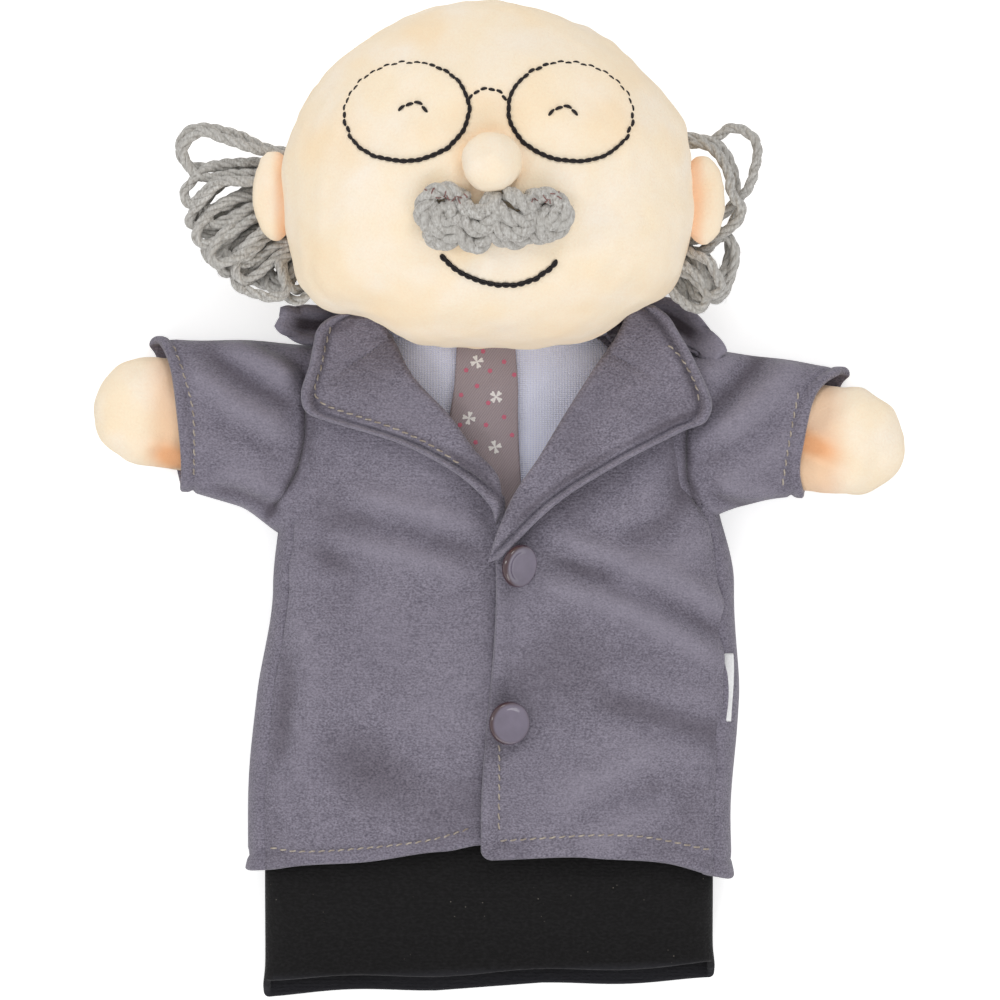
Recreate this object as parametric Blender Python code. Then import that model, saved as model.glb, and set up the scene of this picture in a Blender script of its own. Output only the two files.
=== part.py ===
"""Grandfather hand puppet, lying on its back.

Metres. +X is the viewer's right, +Y runs from the hem to the head, +Z points from the back to the face.
The origin lies under the middle of the puppet, on the surface that it rests on.
"""

import math

import bmesh
import bpy
from mathutils import Vector

# Clearances
GAP = 0.0004  # between two pieces that are sewn or glued together
LAYER_GAP = 0.0006  # between two layers of cloth that lie on each other
SEAM_CLEARANCE = 0.0008  # round a piece of cloth, for another that is sewn against its face
CUT_REACH = 0.012  # how far a cutting form runs past the piece that it cuts

# Middle of the puppet, seen from the front. The glove lies in a slight curve.
BODY_X = -0.0028
WAIST_SWAY = 0.0042  # the waist lies this far to the viewer's right of the head and the hem
CHEST_SWAY = 0.0012
SHOULDER_Y = 0.0458  # top edge of the coat's fronts

# Glove body: the outer face of the shirt and the trousers
HIP_HALF_WIDTH = 0.0625
WAIST_HALF_WIDTH = 0.0590
CHEST_HALF_WIDTH = 0.0550
SHOULDER_HALF_WIDTH = 0.0295
NECK_HALF_WIDTH = 0.0215
HIP_BELOW = 0.1010  # each level is measured down from SHOULDER_Y
WAIST_BELOW = 0.0700
CHEST_BELOW = 0.0380
CHEST_TOP_BELOW = 0.0170
NECK_ABOVE = 0.0130
FRONT_RISE = 0.0140  # from the side seam up to the front
BACK_DROP = 0.0060  # from the side seam down to the back
FRONT_ROUNDNESS = 2.5
BACK_ROUNDNESS = 5.0

# Shirt and trousers
SHIRT_WALL = 0.0008
TROUSERS_WALL = 0.0012
TROUSERS_TOP_BELOW = 0.0900
GLOVE_LENGTH = 0.1842  # from SHOULDER_Y to the back of the hem
HEM_STAGGER = 0.0048  # the front of the hem ends this much higher
HEM_SLOPE = 0.035  # the hem rises towards the viewer's right
SINK_LENGTH = 0.0220  # past the coat's hem, where the trousers come down to the floor

# Coat
COAT_WALL = 0.0015
COAT_EASE = 0.0020  # air between the coat and what it covers
COAT_SIDE_EASE = 0.0015  # more of it at the sides
COAT_LENGTH = 0.1415  # from SHOULDER_Y to the hem at the front edges
COAT_HEM_DROP = 0.0070  # the hem hangs lower at the sides
COAT_SIDE_ANGLE = math.radians(22.0)  # side seams, turned up towards the front
FRONT_EDGE_X = -0.0022  # the upper front's edge, from the glove's middle
UNDERLAP = 0.0120
OVERLAP_EASE_WIDTH = 0.0240  # where the upper front comes down again
NECKLINE_HALF_WIDTH = 0.0325
LEFT_NECKLINE_DROP = 0.0528
LEFT_NECKLINE_TURN = 0.0450  # below this the left roll line runs straight down
LEFT_NECKLINE_TURN_X = 0.0016
UNDERLAP_TURN = 0.0100  # below the neckline, where the underlap comes to its width
RIGHT_NECKLINE_DROP = 0.0590
FLOOR_PRESS = 0.0003  # how much the back is pressed flat on the floor

# Lapels, the two halves of the turned-down front collar
LAPEL_THICKNESS = 0.0024
LAPEL_LIFT = 0.0009  # above the coat's front
LAPEL_RISE = 0.0050  # above SHOULDER_Y
LAPEL_TOP_HALF_WIDTH = 0.0448
LEFT_LAPEL_CORNER = Vector((-0.0520, -0.0150))  # from the middle and SHOULDER_Y
RIGHT_LAPEL_CORNER = Vector((0.0610, -0.0160))
LEFT_LAPEL_BEND = 2.1  # 1 is a straight lower edge
RIGHT_LAPEL_BEND = 1.35
LAPEL_FLAT_FROM = 0.80  # share of the half width past which a lapel lies level

# Collar behind the neck
COLLAR_HALF_LENGTH = 0.0600
COLLAR_WIDTH = 0.0095
COLLAR_TAPER = 0.5  # towards its ends
COLLAR_THICKNESS = 0.0030
COLLAR_CURL = 0.0080  # how far its ends curl up from the floor
COLLAR_DIP = 0.0025  # how far its ends come down the shoulder line

# Sleeves: places are from the middle and from SHOULDER_Y
SLEEVE_WALL = 0.0015
SLEEVE_HEIGHT = 0.0205
SLEEVE_SIDE_HEIGHT = 0.0080
SLEEVE_ROOT_INSET = 0.0130  # how far the uncut sleeve starts inside the coat
SLEEVE_HOLE_END = 0.6  # share of the sleeve that the form of its hole in the coat runs along
LEFT_SLEEVE_ROOT = Vector((-0.0440, -0.0285))
LEFT_SLEEVE_ROOT_HALF = 0.0265
LEFT_CUFF = Vector((-0.0892, -0.0218))
LEFT_CUFF_HALF = 0.0213
LEFT_CUFF_LEAN = math.radians(8.8)
RIGHT_SLEEVE_ROOT = Vector((0.0440, -0.0270))
RIGHT_SLEEVE_ROOT_HALF = 0.0250
RIGHT_CUFF = Vector((0.0931, -0.0268))
RIGHT_CUFF_HALF = 0.0184
RIGHT_CUFF_LEAN = math.radians(17.2)

# Arms with mitten hands
ARM_WALL = 0.0012
ARM_HALF_WIDTH = 0.0134
HAND_HALF_WIDTH = 0.0162
ARM_HEIGHT = 0.0130  # where it is sewn to the shirt
HAND_HEIGHT = 0.0195
HAND_LENGTH = 0.0260  # the part that closes
HAND_SWELL_LENGTH = 0.0120  # the part past the cuff where it grows to its full height
HAND_ROUNDNESS = 2.3
LEFT_ARM_ROOT = Vector((-0.0380, -0.0240))
LEFT_HAND_TIP = Vector((-0.1103, -0.0205))
RIGHT_ARM_ROOT = Vector((0.0380, -0.0240))
RIGHT_HAND_TIP = Vector((0.1159, -0.0302))

# Head
HEAD_WIDTH = 0.1136
HEAD_HEIGHT = 0.0968
HEAD_DEPTH = 0.0700
HEAD_ROUNDNESS = 2.4  # of the profile
CROWN_ROUNDNESS = 1.87  # of the outline over the ears
CHEEK_ROUNDNESS = 3.1  # of the outline under them
HEAD_WALL = 0.0013
HEAD_OVERHANG = 0.0041  # how far the chin comes down past SHOULDER_Y

# Finger tube in the head
TUBE_WALL = 0.0008
TUBE_HALF_WIDTH = 0.0120
TUBE_LENGTH = 0.0520
TUBE_TAPER = 0.5  # at its closed end
TUBE_START_BELOW = 0.0030  # it starts this far below SHOULDER_Y
TUBE_SIDE_CLEARANCE = 0.0012  # to the neck of the shirt

# Face: places are from the middle of the head
NOSE_RADIUS = 0.0084
NOSE_PLACE = Vector((0.0008, 0.0018))
NOSE_SINK = 0.0020  # its middle stands this far above the face
THREAD_RADIUS = 0.0007
RIM_HALF_WIDTH = 0.0171
RIM_HALF_HEIGHT = 0.0136
RIM_SPREAD = 0.0448  # between the middles of the two rims
RIM_UP = 0.0158
RIM_LEAN = math.radians(6.0)
BRIDGE_RISE = 0.0025
EYE_HALF_WIDTH = 0.0043
EYE_RISE = 0.0022
LEFT_EYE_PLACE = Vector((-0.0206, 0.0159))
RIGHT_EYE_PLACE = Vector((0.0206, 0.0148))
MOUTH_HALF_WIDTH = 0.0157
MOUTH_SAG = 0.0075
MOUTH_PLACE = Vector((0.0023, -0.0230))

# Moustache
MOUSTACHE_LENGTH = 0.0420
MOUSTACHE_WIDTH = 0.0172
MOUSTACHE_THICKNESS = 0.0075
MOUSTACHE_SCALLOPS = 4
MOUSTACHE_SCALLOP_DEPTH = 0.16
MOUSTACHE_PLACE = Vector((0.0006, -0.0118))
MOUSTACHE_SLOPE = 0.035
MOUSTACHE_SAG = 0.0020

# Ears
EAR_HALF_HEIGHT = 0.0128
EAR_REACH = 0.0086  # past the side of the head
EAR_ROOT = 0.0040
EAR_HALF_DEPTH = 0.0042
LEFT_EAR_UP = -0.0060
RIGHT_EAR_UP = -0.0074

# Hair: one looped yarn at each side, sewn in behind the ear
YARN_RADIUS = 0.0015
YARN_SPACING = 0.0034  # between neighbouring strands
HAIR_GAP = 0.0009  # from the head to the yarn at each root
HAIR_BEHIND = 0.0070  # behind the side seam
LEFT_HAIR_LOOPS = 5
LEFT_HAIR_TOP_UP = 0.0080
LEFT_HAIR_REACH = 0.0270
LEFT_HAIR_LOW_REACH = 0.0190
RIGHT_HAIR_LOOPS = 5
RIGHT_HAIR_TOP_UP = 0.0110
RIGHT_HAIR_REACH = 0.0150
RIGHT_HAIR_LOW_REACH = 0.0140
HAIR_TOP_ANGLE = math.radians(14.0)  # above level
HAIR_LOW_ANGLE = math.radians(-52.0)

# Tie
TIE_TOP_HALF_WIDTH = 0.0078
TIE_LOW_HALF_WIDTH = 0.0115
TIE_THICKNESS = 0.0010
TIE_LENGTH = 0.0530
TIE_POINT = 0.0090
TIE_TOP_BELOW = 0.0015
TIE_X = -0.0006  # from the middle
TIE_SLANT = -0.09  # it drifts to the viewer's left on the way down

# Buttons
BUTTON_RADIUS = 0.0060
BUTTON_THICKNESS = 0.0026
BUTTON_DISH = 0.0008
BUTTON_RIM = 0.0012
SHANK_RADIUS = 0.0017
SHANK_LENGTH = 0.0016
UPPER_BUTTON_BELOW = 0.0638
LOWER_BUTTON_BELOW = 0.1074
BUTTON_FROM_EDGE = 0.0056

# Care label in the side seam
LABEL_LENGTH = 0.0190
LABEL_WIDTH = 0.0070
LABEL_THICKNESS = 0.0004
LABEL_TOP_BELOW = 0.0884

# Colours as they show, and roughness
SKIN = ("skin_plush", (0.992, 0.922, 0.827), 0.85)
GREY_CLOTH = ("coat_cloth", (0.475, 0.450, 0.490), 0.90)
JERSEY = ("shirt_jersey", (0.760, 0.760, 0.845), 0.80)
BLACK_PILE = ("trousers_velour", (0.105, 0.100, 0.105), 0.80)
SATIN = ("tie_satin", (0.550, 0.500, 0.515), 0.45)
YARN = ("grey_yarn", (0.640, 0.625, 0.600), 0.90)
BLACK_THREAD = ("black_thread", (0.080, 0.065, 0.065), 0.70)
BUTTON_PLASTIC = ("button_plastic", (0.480, 0.445, 0.500), 0.15)
LABEL_SATIN = ("label_satin", (0.930, 0.930, 0.930), 0.50)
WADDING = ("wadding", (0.940, 0.930, 0.910), 0.95)
LINING = ("finger_lining", (0.900, 0.870, 0.820), 0.85)

# How finely each form is divided
PANEL_COLUMNS = 10
SHIRT_LOW_ROWS = 5
SHOULDER_ROWS = 5
TROUSERS_ROWS = 9
COAT_ROWS = 8
COAT_BACK_COLUMNS = 14
COAT_FRONT_COLUMNS = 9
TIE_ROWS = 10
TIE_COLUMNS = 4
ARM_RINGS = 11
ARM_AROUND = 14
ARM_HOLE_RINGS = 4  # of the arm's rings, the ones that open the shirt
SLEEVE_RINGS = 7
SLEEVE_HOLE_RINGS = 4
SLEEVE_AROUND = 16
LAPEL_LOW_ROWS = 8
LAPEL_TOP_ROWS = 7
LAPEL_COLUMNS = 5
COLLAR_COLUMNS = 16
COLLAR_ROWS = 3
BUTTON_AROUND = 16
LABEL_ROWS = 4
LABEL_COLUMNS = 3
HEAD_RINGS = 7
HEAD_AROUND = 28
HEAD_CUTTER_RINGS = 18
HEAD_CUTTER_AROUND = 36
FILLING_RINGS = 12
FILLING_AROUND = 20
TUBE_AROUND = 16
BALL_RINGS = 8
BALL_AROUND = 16
RIM_POINTS = 24
BRIDGE_POINTS = 6
EYE_POINTS = 6
MOUTH_POINTS = 12
MOUSTACHE_RINGS = 16
MOUSTACHE_AROUND = 10
HAIR_POINTS = 10  # along each loop
TORSO_CUTTER_AROUND = 40
NECK_CUTTER_AROUND = 32

# Sizes that follow from the ones above
COAT_INNER = COAT_EASE
COAT_OUTER = COAT_EASE + COAT_WALL
BASE_HEIGHT = COAT_OUTER - FLOOR_PRESS
HEM_Y = SHOULDER_Y - GLOVE_LENGTH
COAT_HEM_Y = SHOULDER_Y - COAT_LENGTH
SINK_TOP_Y = COAT_HEM_Y - 1.3 * COAT_HEM_DROP
SKIRT_TOP_Y = SHOULDER_Y - TROUSERS_TOP_BELOW
OVERLAP_LIFT = COAT_WALL + LAYER_GAP
HEAD_Y = SHOULDER_Y - HEAD_OVERHANG + HEAD_HEIGHT / 2
HEAD_X = BODY_X
HEAD_Z = HEAD_DEPTH / 2 - FLOOR_PRESS
NECK_Y = SHOULDER_Y + NECK_ABOVE
NECK_MIDDLE_Z = BASE_HEIGHT + (FRONT_RISE + BACK_DROP) / 2
TUBE_HALF_HEIGHT = (FRONT_RISE + BACK_DROP) / 2 - SHIRT_WALL - TUBE_SIDE_CLEARANCE


# Numbers and curves


def ramp(share):
    """0 to 1 with a smooth start and end."""
    share = min(max(share, 0.0), 1.0)
    return share * share * (3.0 - 2.0 * share)


def blend(first, last, share):
    return first + (last - first) * share


def power(value, exponent):
    return math.copysign(abs(value) ** exponent, value)


def steps(first, last, count):
    """count + 1 values from first to last."""
    return [blend(first, last, i / count) for i in range(count + 1)]


def through(stations, place):
    """A smooth value through (place, value) stations, level past both ends."""
    low_place, low_value = stations[0]
    for high_place, high_value in stations[1:]:
        if place < high_place:
            return blend(low_value, high_value, ramp((place - low_place) / (high_place - low_place)))
        low_place, low_value = high_place, high_value
    return low_value


# Meshes


def finish(name, bm, finish_of):
    """Turns a closed mesh into a named, smooth object with its own material."""
    bmesh.ops.remove_doubles(bm, verts=bm.verts, dist=1e-7)
    bmesh.ops.recalc_face_normals(bm, faces=bm.faces)
    mesh = bpy.data.meshes.new(name)
    bm.to_mesh(mesh)
    bm.free()
    mesh.shade_smooth()
    mesh.set_sharp_from_angle(angle=math.radians(40.0))
    part = bpy.data.objects.new(name, mesh)
    bpy.context.scene.collection.objects.link(part)
    dress(part, finish_of)
    return part


def to_linear(channel):
    """A colour channel as light, from how it shows."""
    return channel / 12.92 if channel <= 0.04045 else ((channel + 0.055) / 1.055) ** 2.4


def dress(part, finish_of):
    """Gives an object its own Principled material."""
    slot, colour, roughness = finish_of
    material = bpy.data.materials.new(f"{slot}_{part.name}")
    material.use_nodes = True
    shader = material.node_tree.nodes["Principled BSDF"]
    linear = [to_linear(channel) for channel in colour]
    shader.inputs["Base Color"].default_value = (*linear, 1.0)
    shader.inputs["Roughness"].default_value = roughness
    shader.inputs["Metallic"].default_value = 0.0
    material.diffuse_color = (*linear, 1.0)
    part.data.materials.append(material)


def add_rows(bm, rows, wrap):
    """Adds a grid of vertices and the faces between them; wrap joins the last column to the first."""
    verts = [[bm.verts.new(point) for point in row] for row in rows]
    for low, high in zip(verts, verts[1:]):
        columns = range(len(low)) if wrap else range(len(low) - 1)
        for j in columns:
            k = (j + 1) % len(low)
            bm.faces.new((low[j], low[k], high[k], high[j]))
    return verts


def join_edges(bm, outer, inner):
    """Faces between two matching lines of vertices."""
    for a, b, c, d in zip(outer, outer[1:], inner[1:], inner):
        bm.faces.new((a, b, c, d))


def sheet(name, outer_rows, inner_rows, finish_of):
    """A piece of cloth with a wall: two grids and the four edges between them."""
    bm = bmesh.new()
    outer = add_rows(bm, outer_rows, False)
    inner = add_rows(bm, inner_rows, False)
    join_edges(bm, outer[0], inner[0])
    join_edges(bm, outer[-1], inner[-1])
    join_edges(bm, [row[0] for row in outer], [row[0] for row in inner])
    join_edges(bm, [row[-1] for row in outer], [row[-1] for row in inner])
    return finish(name, bm, finish_of)


def shell(name, outer_rows, inner_rows, finish_of, far_end_open=False):
    """A round shell with its mouth at the first row; the last row is a point unless the far end is open."""
    bm = bmesh.new()
    outer = add_rows(bm, outer_rows, True)
    inner = add_rows(bm, inner_rows, True)
    join_edges(bm, outer[0] + outer[0][:1], inner[0] + inner[0][:1])
    if far_end_open:
        join_edges(bm, outer[-1] + outer[-1][:1], inner[-1] + inner[-1][:1])
    return finish(name, bm, finish_of)


def loft(name, rows, finish_of):
    """A solid through closed rings; its ends are flat."""
    bm = bmesh.new()
    verts = add_rows(bm, rows, True)
    bm.faces.new(verts[0])
    bm.faces.new(verts[-1])
    return finish(name, bm, finish_of)


def cutter(name, rows):
    """A solid that only cuts others."""
    part = loft(name, rows, WADDING)
    part.hide_render = True
    part.display_type = "WIRE"
    return part


def cut(part, tool):
    modifier = part.modifiers.new(f"cut_{tool.name}", "BOOLEAN")
    modifier.operation = "DIFFERENCE"
    modifier.solver = "EXACT"
    modifier.object = tool


def thread(name, points, radius, finish_of, closed=False, sides=1):
    """A round strand through the points."""
    curve = bpy.data.curves.new(name, "CURVE")
    curve.dimensions = "3D"
    curve.bevel_depth = radius
    curve.bevel_resolution = sides
    curve.use_fill_caps = not closed
    spline = curve.splines.new("POLY")
    spline.points.add(len(points) - 1)
    for slot, point in zip(spline.points, points):
        slot.co = (*point, 1.0)
    spline.use_cyclic_u = closed
    spline.use_smooth = True
    part = bpy.data.objects.new(name, curve)
    bpy.context.scene.collection.objects.link(part)
    dress(part, finish_of)
    return part


# Forms


def section(angle, half, rise, drop):
    """A point of a section with a domed front and a flat back: (across, above the side)."""
    across, up = math.cos(angle), math.sin(angle)
    if up >= 0.0:
        return half * power(across, 2.0 / FRONT_ROUNDNESS), rise * power(up, 2.0 / FRONT_ROUNDNESS)
    return half * power(across, 2.0 / BACK_ROUNDNESS), drop * power(up, 2.0 / BACK_ROUNDNESS)


def torso_half_width(y):
    stations = (
        (SHOULDER_Y - HIP_BELOW, HIP_HALF_WIDTH),
        (SHOULDER_Y - WAIST_BELOW, WAIST_HALF_WIDTH),
        (SHOULDER_Y - CHEST_BELOW, CHEST_HALF_WIDTH),
        (SHOULDER_Y - CHEST_TOP_BELOW, CHEST_HALF_WIDTH),
        (SHOULDER_Y, SHOULDER_HALF_WIDTH),
        (NECK_Y, NECK_HALF_WIDTH),
    )
    return through(stations, y)


def torso_middle(y):
    """Where the middle of the glove lies."""
    stations = (
        (SHOULDER_Y - HIP_BELOW - WAIST_BELOW / 2, BODY_X),
        (SHOULDER_Y - WAIST_BELOW, BODY_X + WAIST_SWAY),
        (SHOULDER_Y - CHEST_TOP_BELOW, BODY_X + CHEST_SWAY),
        (SHOULDER_Y, BODY_X),
    )
    return through(stations, y)


def side_seam():
    """The small angles that leave the gap of the side seam, for a front and for a back."""
    front = (GAP / 2 / FRONT_RISE) ** (FRONT_ROUNDNESS / 2)
    back = (GAP / 2 / BACK_DROP) ** (BACK_ROUNDNESS / 2)
    return front, back


def torso_base(y):
    """Height of the glove's back: on the coat's back, and past the coat's hem on the floor."""
    return BASE_HEIGHT * ramp((y - SINK_TOP_Y + SINK_LENGTH) / SINK_LENGTH)


def torso_point(angle, y, offset, ease=0.0, least=0.0):
    """A point offset out from the glove body; it stays at least this high above the floor."""
    half = torso_half_width(y) + ease + offset
    across, up = section(angle, half, FRONT_RISE + offset, BACK_DROP + offset)
    return Vector((torso_middle(y) + across, y, max(torso_base(y) + BACK_DROP + up, least)))


def front_angle(x, y, offset, ease=0.0):
    """The angle at which the front passes over a place x from the middle."""
    share = x / (torso_half_width(y) + ease + offset)
    return math.acos(power(min(max(share, -1.0), 1.0), FRONT_ROUNDNESS / 2.0))


def front_height(x, y, offset, ease=0.0):
    """Height of the front over a place x from the middle."""
    return torso_point(front_angle(x, y, offset, ease), y, offset, ease).z


def limb_ring(middle, lean, half, low, high, side, count):
    """A flat-backed ring across a limb. lean turns its upper end outwards."""
    along = Vector((math.sin(lean), math.cos(lean)))
    ring = []
    for i in range(count):
        across, up = section(2.0 * math.pi * (i + 0.5) / count, half, high - side, side - low)
        ring.append(Vector((middle.x + along.x * across, middle.y + along.y * across, side + up)))
    return ring


def outline_level(across, up):
    """How far out a place is on the face: 0 at the middle and 1 on the outline."""
    roundness = CHEEK_ROUNDNESS if up < 0.0 else CROWN_ROUNDNESS
    return (abs(across) ** roundness + abs(up) ** roundness) ** (1.0 / roundness)


def head_point(latitude, turn, offset, least=0.0):
    """A point offset out from the head. Latitude is 90 degrees at the face's middle."""
    spread = power(math.cos(latitude), 2.0 / HEAD_ROUNDNESS) / outline_level(math.cos(turn), math.sin(turn))
    return Vector(
        (
            HEAD_X + (HEAD_WIDTH / 2 + offset) * spread * math.cos(turn),
            HEAD_Y + (HEAD_HEIGHT / 2 + offset) * spread * math.sin(turn),
            max(HEAD_Z + (HEAD_DEPTH / 2 + offset) * power(math.sin(latitude), 2.0 / HEAD_ROUNDNESS), least),
        )
    )


def face_point(place, offset):
    """The point above the face at a place from the middle of the head."""
    across = place.x / (HEAD_WIDTH / 2 + offset)
    up = place.y / (HEAD_HEIGHT / 2 + offset)
    rest = max(1.0 - outline_level(across, up) ** HEAD_ROUNDNESS, 0.0)
    depth = (HEAD_DEPTH / 2 + offset) * rest ** (1.0 / HEAD_ROUNDNESS)
    return Vector((HEAD_X + place.x, HEAD_Y + place.y, HEAD_Z + depth))


# Glove body


def body_panel(name, first_angle, last_angle, levels, hem_shift, wall, finish_of):
    """Cloth over a part of the glove. hem_shift moves the low end at a place from the middle."""
    outer, inner = [], []
    for level in levels:
        share = (level - levels[0]) / (levels[-1] - levels[0])
        outer_row, inner_row = [], []
        for angle in steps(first_angle, last_angle, PANEL_COLUMNS):
            across = section(angle, HIP_HALF_WIDTH, 0.0, 0.0)[0]
            y = level + hem_shift(across) * (1.0 - share)
            outer_row.append(torso_point(angle, y, 0.0))
            inner_row.append(torso_point(angle, y, -wall, least=wall))
        outer.append(outer_row)
        inner.append(inner_row)
    return sheet(name, outer, inner, finish_of)


def shirt_levels():
    """Levels of the shirt's rows, closer together at the shoulder; they run on into the head."""
    chest_top = SHOULDER_Y - CHEST_TOP_BELOW
    low = steps(SKIRT_TOP_Y + GAP, chest_top, SHIRT_LOW_ROWS)
    return low + steps(chest_top, NECK_Y, SHOULDER_ROWS)[1:] + [NECK_Y + CUT_REACH]


def make_shirt(arm_tools, head_tool):
    front, back = side_seam()
    for name, start, seam in (("shirt_front", 0.0, front), ("shirt_back", math.pi, back)):
        first, last = start + seam, start + math.pi - seam
        part = body_panel(name, first, last, shirt_levels(), lambda x: 0.0, SHIRT_WALL, JERSEY)
        cut(part, head_tool)
        for tool in arm_tools:
            cut(part, tool)


def make_trousers():
    front, back = side_seam()
    front_hem = HEM_Y + HEM_STAGGER
    for name, start, seam, hem in (
        ("trousers_front", 0.0, front, front_hem),
        ("trousers_back", math.pi, back, HEM_Y),
    ):
        first, last = start + seam, start + math.pi - seam
        levels = steps(hem, SKIRT_TOP_Y - GAP, TROUSERS_ROWS)
        body_panel(
            name, first, last, levels, lambda x: HEM_SLOPE * (x + HIP_HALF_WIDTH), TROUSERS_WALL, BLACK_PILE
        )


def tie_middle(y):
    return TIE_X + TIE_SLANT * (SHOULDER_Y - y)


def make_tie(head_tool):
    """A flat tie whose lower end comes to a point under the coat."""
    top = SHOULDER_Y - TIE_TOP_BELOW
    low = top - TIE_LENGTH
    outer, inner = [], []
    for y in steps(low, top, TIE_ROWS):
        half = blend(TIE_LOW_HALF_WIDTH, TIE_TOP_HALF_WIDTH, (y - low) / TIE_LENGTH)
        outer_row, inner_row = [], []
        for across in steps(-half, half, TIE_COLUMNS):
            point_share = 1.0 - abs(across) / half
            place = y - TIE_POINT * point_share * (1.0 - ramp((y - low) / (2 * TIE_POINT)))
            x = tie_middle(place) + across
            for row, offset in ((inner_row, GAP), (outer_row, GAP + TIE_THICKNESS)):
                row.append(torso_point(front_angle(x, place, offset), place, offset))
        outer.append(outer_row)
        inner.append(inner_row)
    cut(sheet("tie", outer, inner, SATIN), head_tool)


# Arms and sleeves


def arm_rows(root, tip, cuff, inset):
    """Rings from the root to the tip of a mitten arm, inset from its outer face."""
    root = Vector((BODY_X, SHOULDER_Y)) + root
    tip = Vector((BODY_X, SHOULDER_Y)) + tip
    length = (tip - root).length
    cuff_reach = abs(BODY_X + cuff.x - root.x)
    low_root = BASE_HEIGHT + SHIRT_WALL
    low_cuff = SLEEVE_WALL + LAYER_GAP
    high_cuff = SLEEVE_HEIGHT - SLEEVE_WALL - LAYER_GAP
    rows = []
    for share in steps(0.0, 1.0, ARM_RINGS):
        reach = blend(0.0, length - inset, math.sin(share * math.pi / 2) ** 0.9)
        closing = max(0.0, (reach - length + HAND_LENGTH) / (HAND_LENGTH - inset))
        spread = max(0.0, 1.0 - closing**HAND_ROUNDNESS) ** (1.0 / HAND_ROUNDNESS)
        opening = ramp(2.0 * reach / cuff_reach - 0.5)
        swell = ramp((reach - cuff_reach) / HAND_SWELL_LENGTH)
        low = blend(blend(low_root, low_cuff, opening), FLOOR_PRESS, swell)
        high = blend(blend(low_root + ARM_HEIGHT, high_cuff, opening), FLOOR_PRESS + HAND_HEIGHT, swell)
        middle = root + (tip - root) * (reach / length)
        side = blend(low, high, 0.45)
        half = (blend(ARM_HALF_WIDTH, HAND_HALF_WIDTH, swell) - inset) * spread
        rows.append(
            limb_ring(
                middle,
                0.0,
                half,
                side - (side - low - inset) * spread,
                side + (high - side - inset) * spread,
                side,
                ARM_AROUND,
            )
        )
    return rows


def sleeve_ring(root, root_half, cuff, cuff_half, lean, reach, inset):
    """A ring of a sleeve; reach is 0 at the root and 1 at the cuff, and less than 0 inside the coat."""
    middle = Vector((BODY_X, SHOULDER_Y)) + root + (cuff - root) * reach
    share = ramp(reach)
    return limb_ring(
        middle,
        lean * share,
        blend(root_half, cuff_half, reach) - inset,
        inset,
        SLEEVE_HEIGHT - inset,
        SLEEVE_SIDE_HEIGHT,
        SLEEVE_AROUND,
    )


def make_sleeve(name, root, root_half, cuff, cuff_half, lean, coat_tool):
    """A short sleeve, and the form that opens the coat where it is sewn on."""
    start = -SLEEVE_ROOT_INSET / (cuff - root).length

    def rings(inset, end, count):
        places = steps(start, end, count)
        return [sleeve_ring(root, root_half, cuff, cuff_half, lean, place, inset) for place in places]

    outer = rings(0.0, 1.0, SLEEVE_RINGS)
    inner = rings(SLEEVE_WALL, 1.0, SLEEVE_RINGS)
    part = shell(name, outer, inner, GREY_CLOTH, far_end_open=True)
    cut(part, coat_tool)
    return cutter(f"{name}_hole", rings(SLEEVE_WALL + GAP, SLEEVE_HOLE_END, SLEEVE_HOLE_RINGS))


def make_arm(name, root, tip, cuff, shirt_tool):
    """A mitten arm, and the form that opens the shirt where it is sewn on."""
    part = shell(name, arm_rows(root, tip, cuff, 0.0), arm_rows(root, tip, cuff, ARM_WALL), SKIN)
    cut(part, shirt_tool)
    return cutter(f"{name}_hole", arm_rows(root, tip, cuff, ARM_WALL + GAP)[:ARM_HOLE_RINGS])


# Coat


def left_front_edge(y):
    """The left front's edge: the neckline, and below it the part that lies under the right front."""
    below = SHOULDER_Y - y
    roll_line = blend(-NECKLINE_HALF_WIDTH, LEFT_NECKLINE_TURN_X, below / LEFT_NECKLINE_TURN)
    underlap_share = ramp((below - LEFT_NECKLINE_DROP) / UNDERLAP_TURN)
    return blend(min(roll_line, LEFT_NECKLINE_TURN_X), FRONT_EDGE_X + UNDERLAP, underlap_share)


def right_front_edge(y):
    start = SHOULDER_Y - RIGHT_NECKLINE_DROP
    return max(FRONT_EDGE_X, blend(FRONT_EDGE_X, NECKLINE_HALF_WIDTH, (y - start) / RIGHT_NECKLINE_DROP))


def overlap_lift(x):
    """The right front lies on the left one near its edge."""
    reach = (x - FRONT_EDGE_X - UNDERLAP) / OVERLAP_EASE_WIDTH
    return OVERLAP_LIFT * (1.0 - ramp(reach))


def coat_hem_shift(x):
    """How much lower the hem hangs at a place x from the middle."""
    return -COAT_HEM_DROP * (x / HIP_HALF_WIDTH) ** 2


def coat_levels():
    """Levels of the coat's rows, closer together at the shoulder."""
    chest_top = SHOULDER_Y - CHEST_TOP_BELOW
    return steps(COAT_HEM_Y, chest_top, COAT_ROWS) + steps(chest_top, SHOULDER_Y, SHOULDER_ROWS)[1:]


def coat_panel(name, first_angle, last_angle, columns, lift, tools):
    """Cloth of the coat. The angles are functions of the level y."""
    outer, inner = [], []
    for level in coat_levels():
        share = (level - COAT_HEM_Y) / COAT_LENGTH
        outer_row, inner_row = [], []
        for angle in steps(first_angle(level), last_angle(level), columns):
            across = torso_point(angle, level, 0.0, COAT_SIDE_EASE).x - torso_middle(level)
            y = level + coat_hem_shift(across) * (1.0 - share) ** 2
            raised = lift(across)
            outer_row.append(torso_point(angle, y, COAT_OUTER + raised, COAT_SIDE_EASE))
            inner_row.append(torso_point(angle, y, COAT_INNER + raised, COAT_SIDE_EASE, COAT_WALL))
        outer.append(outer_row)
        inner.append(inner_row)
    part = sheet(name, outer, inner, GREY_CLOTH)
    for tool in tools:
        cut(part, tool)


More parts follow.
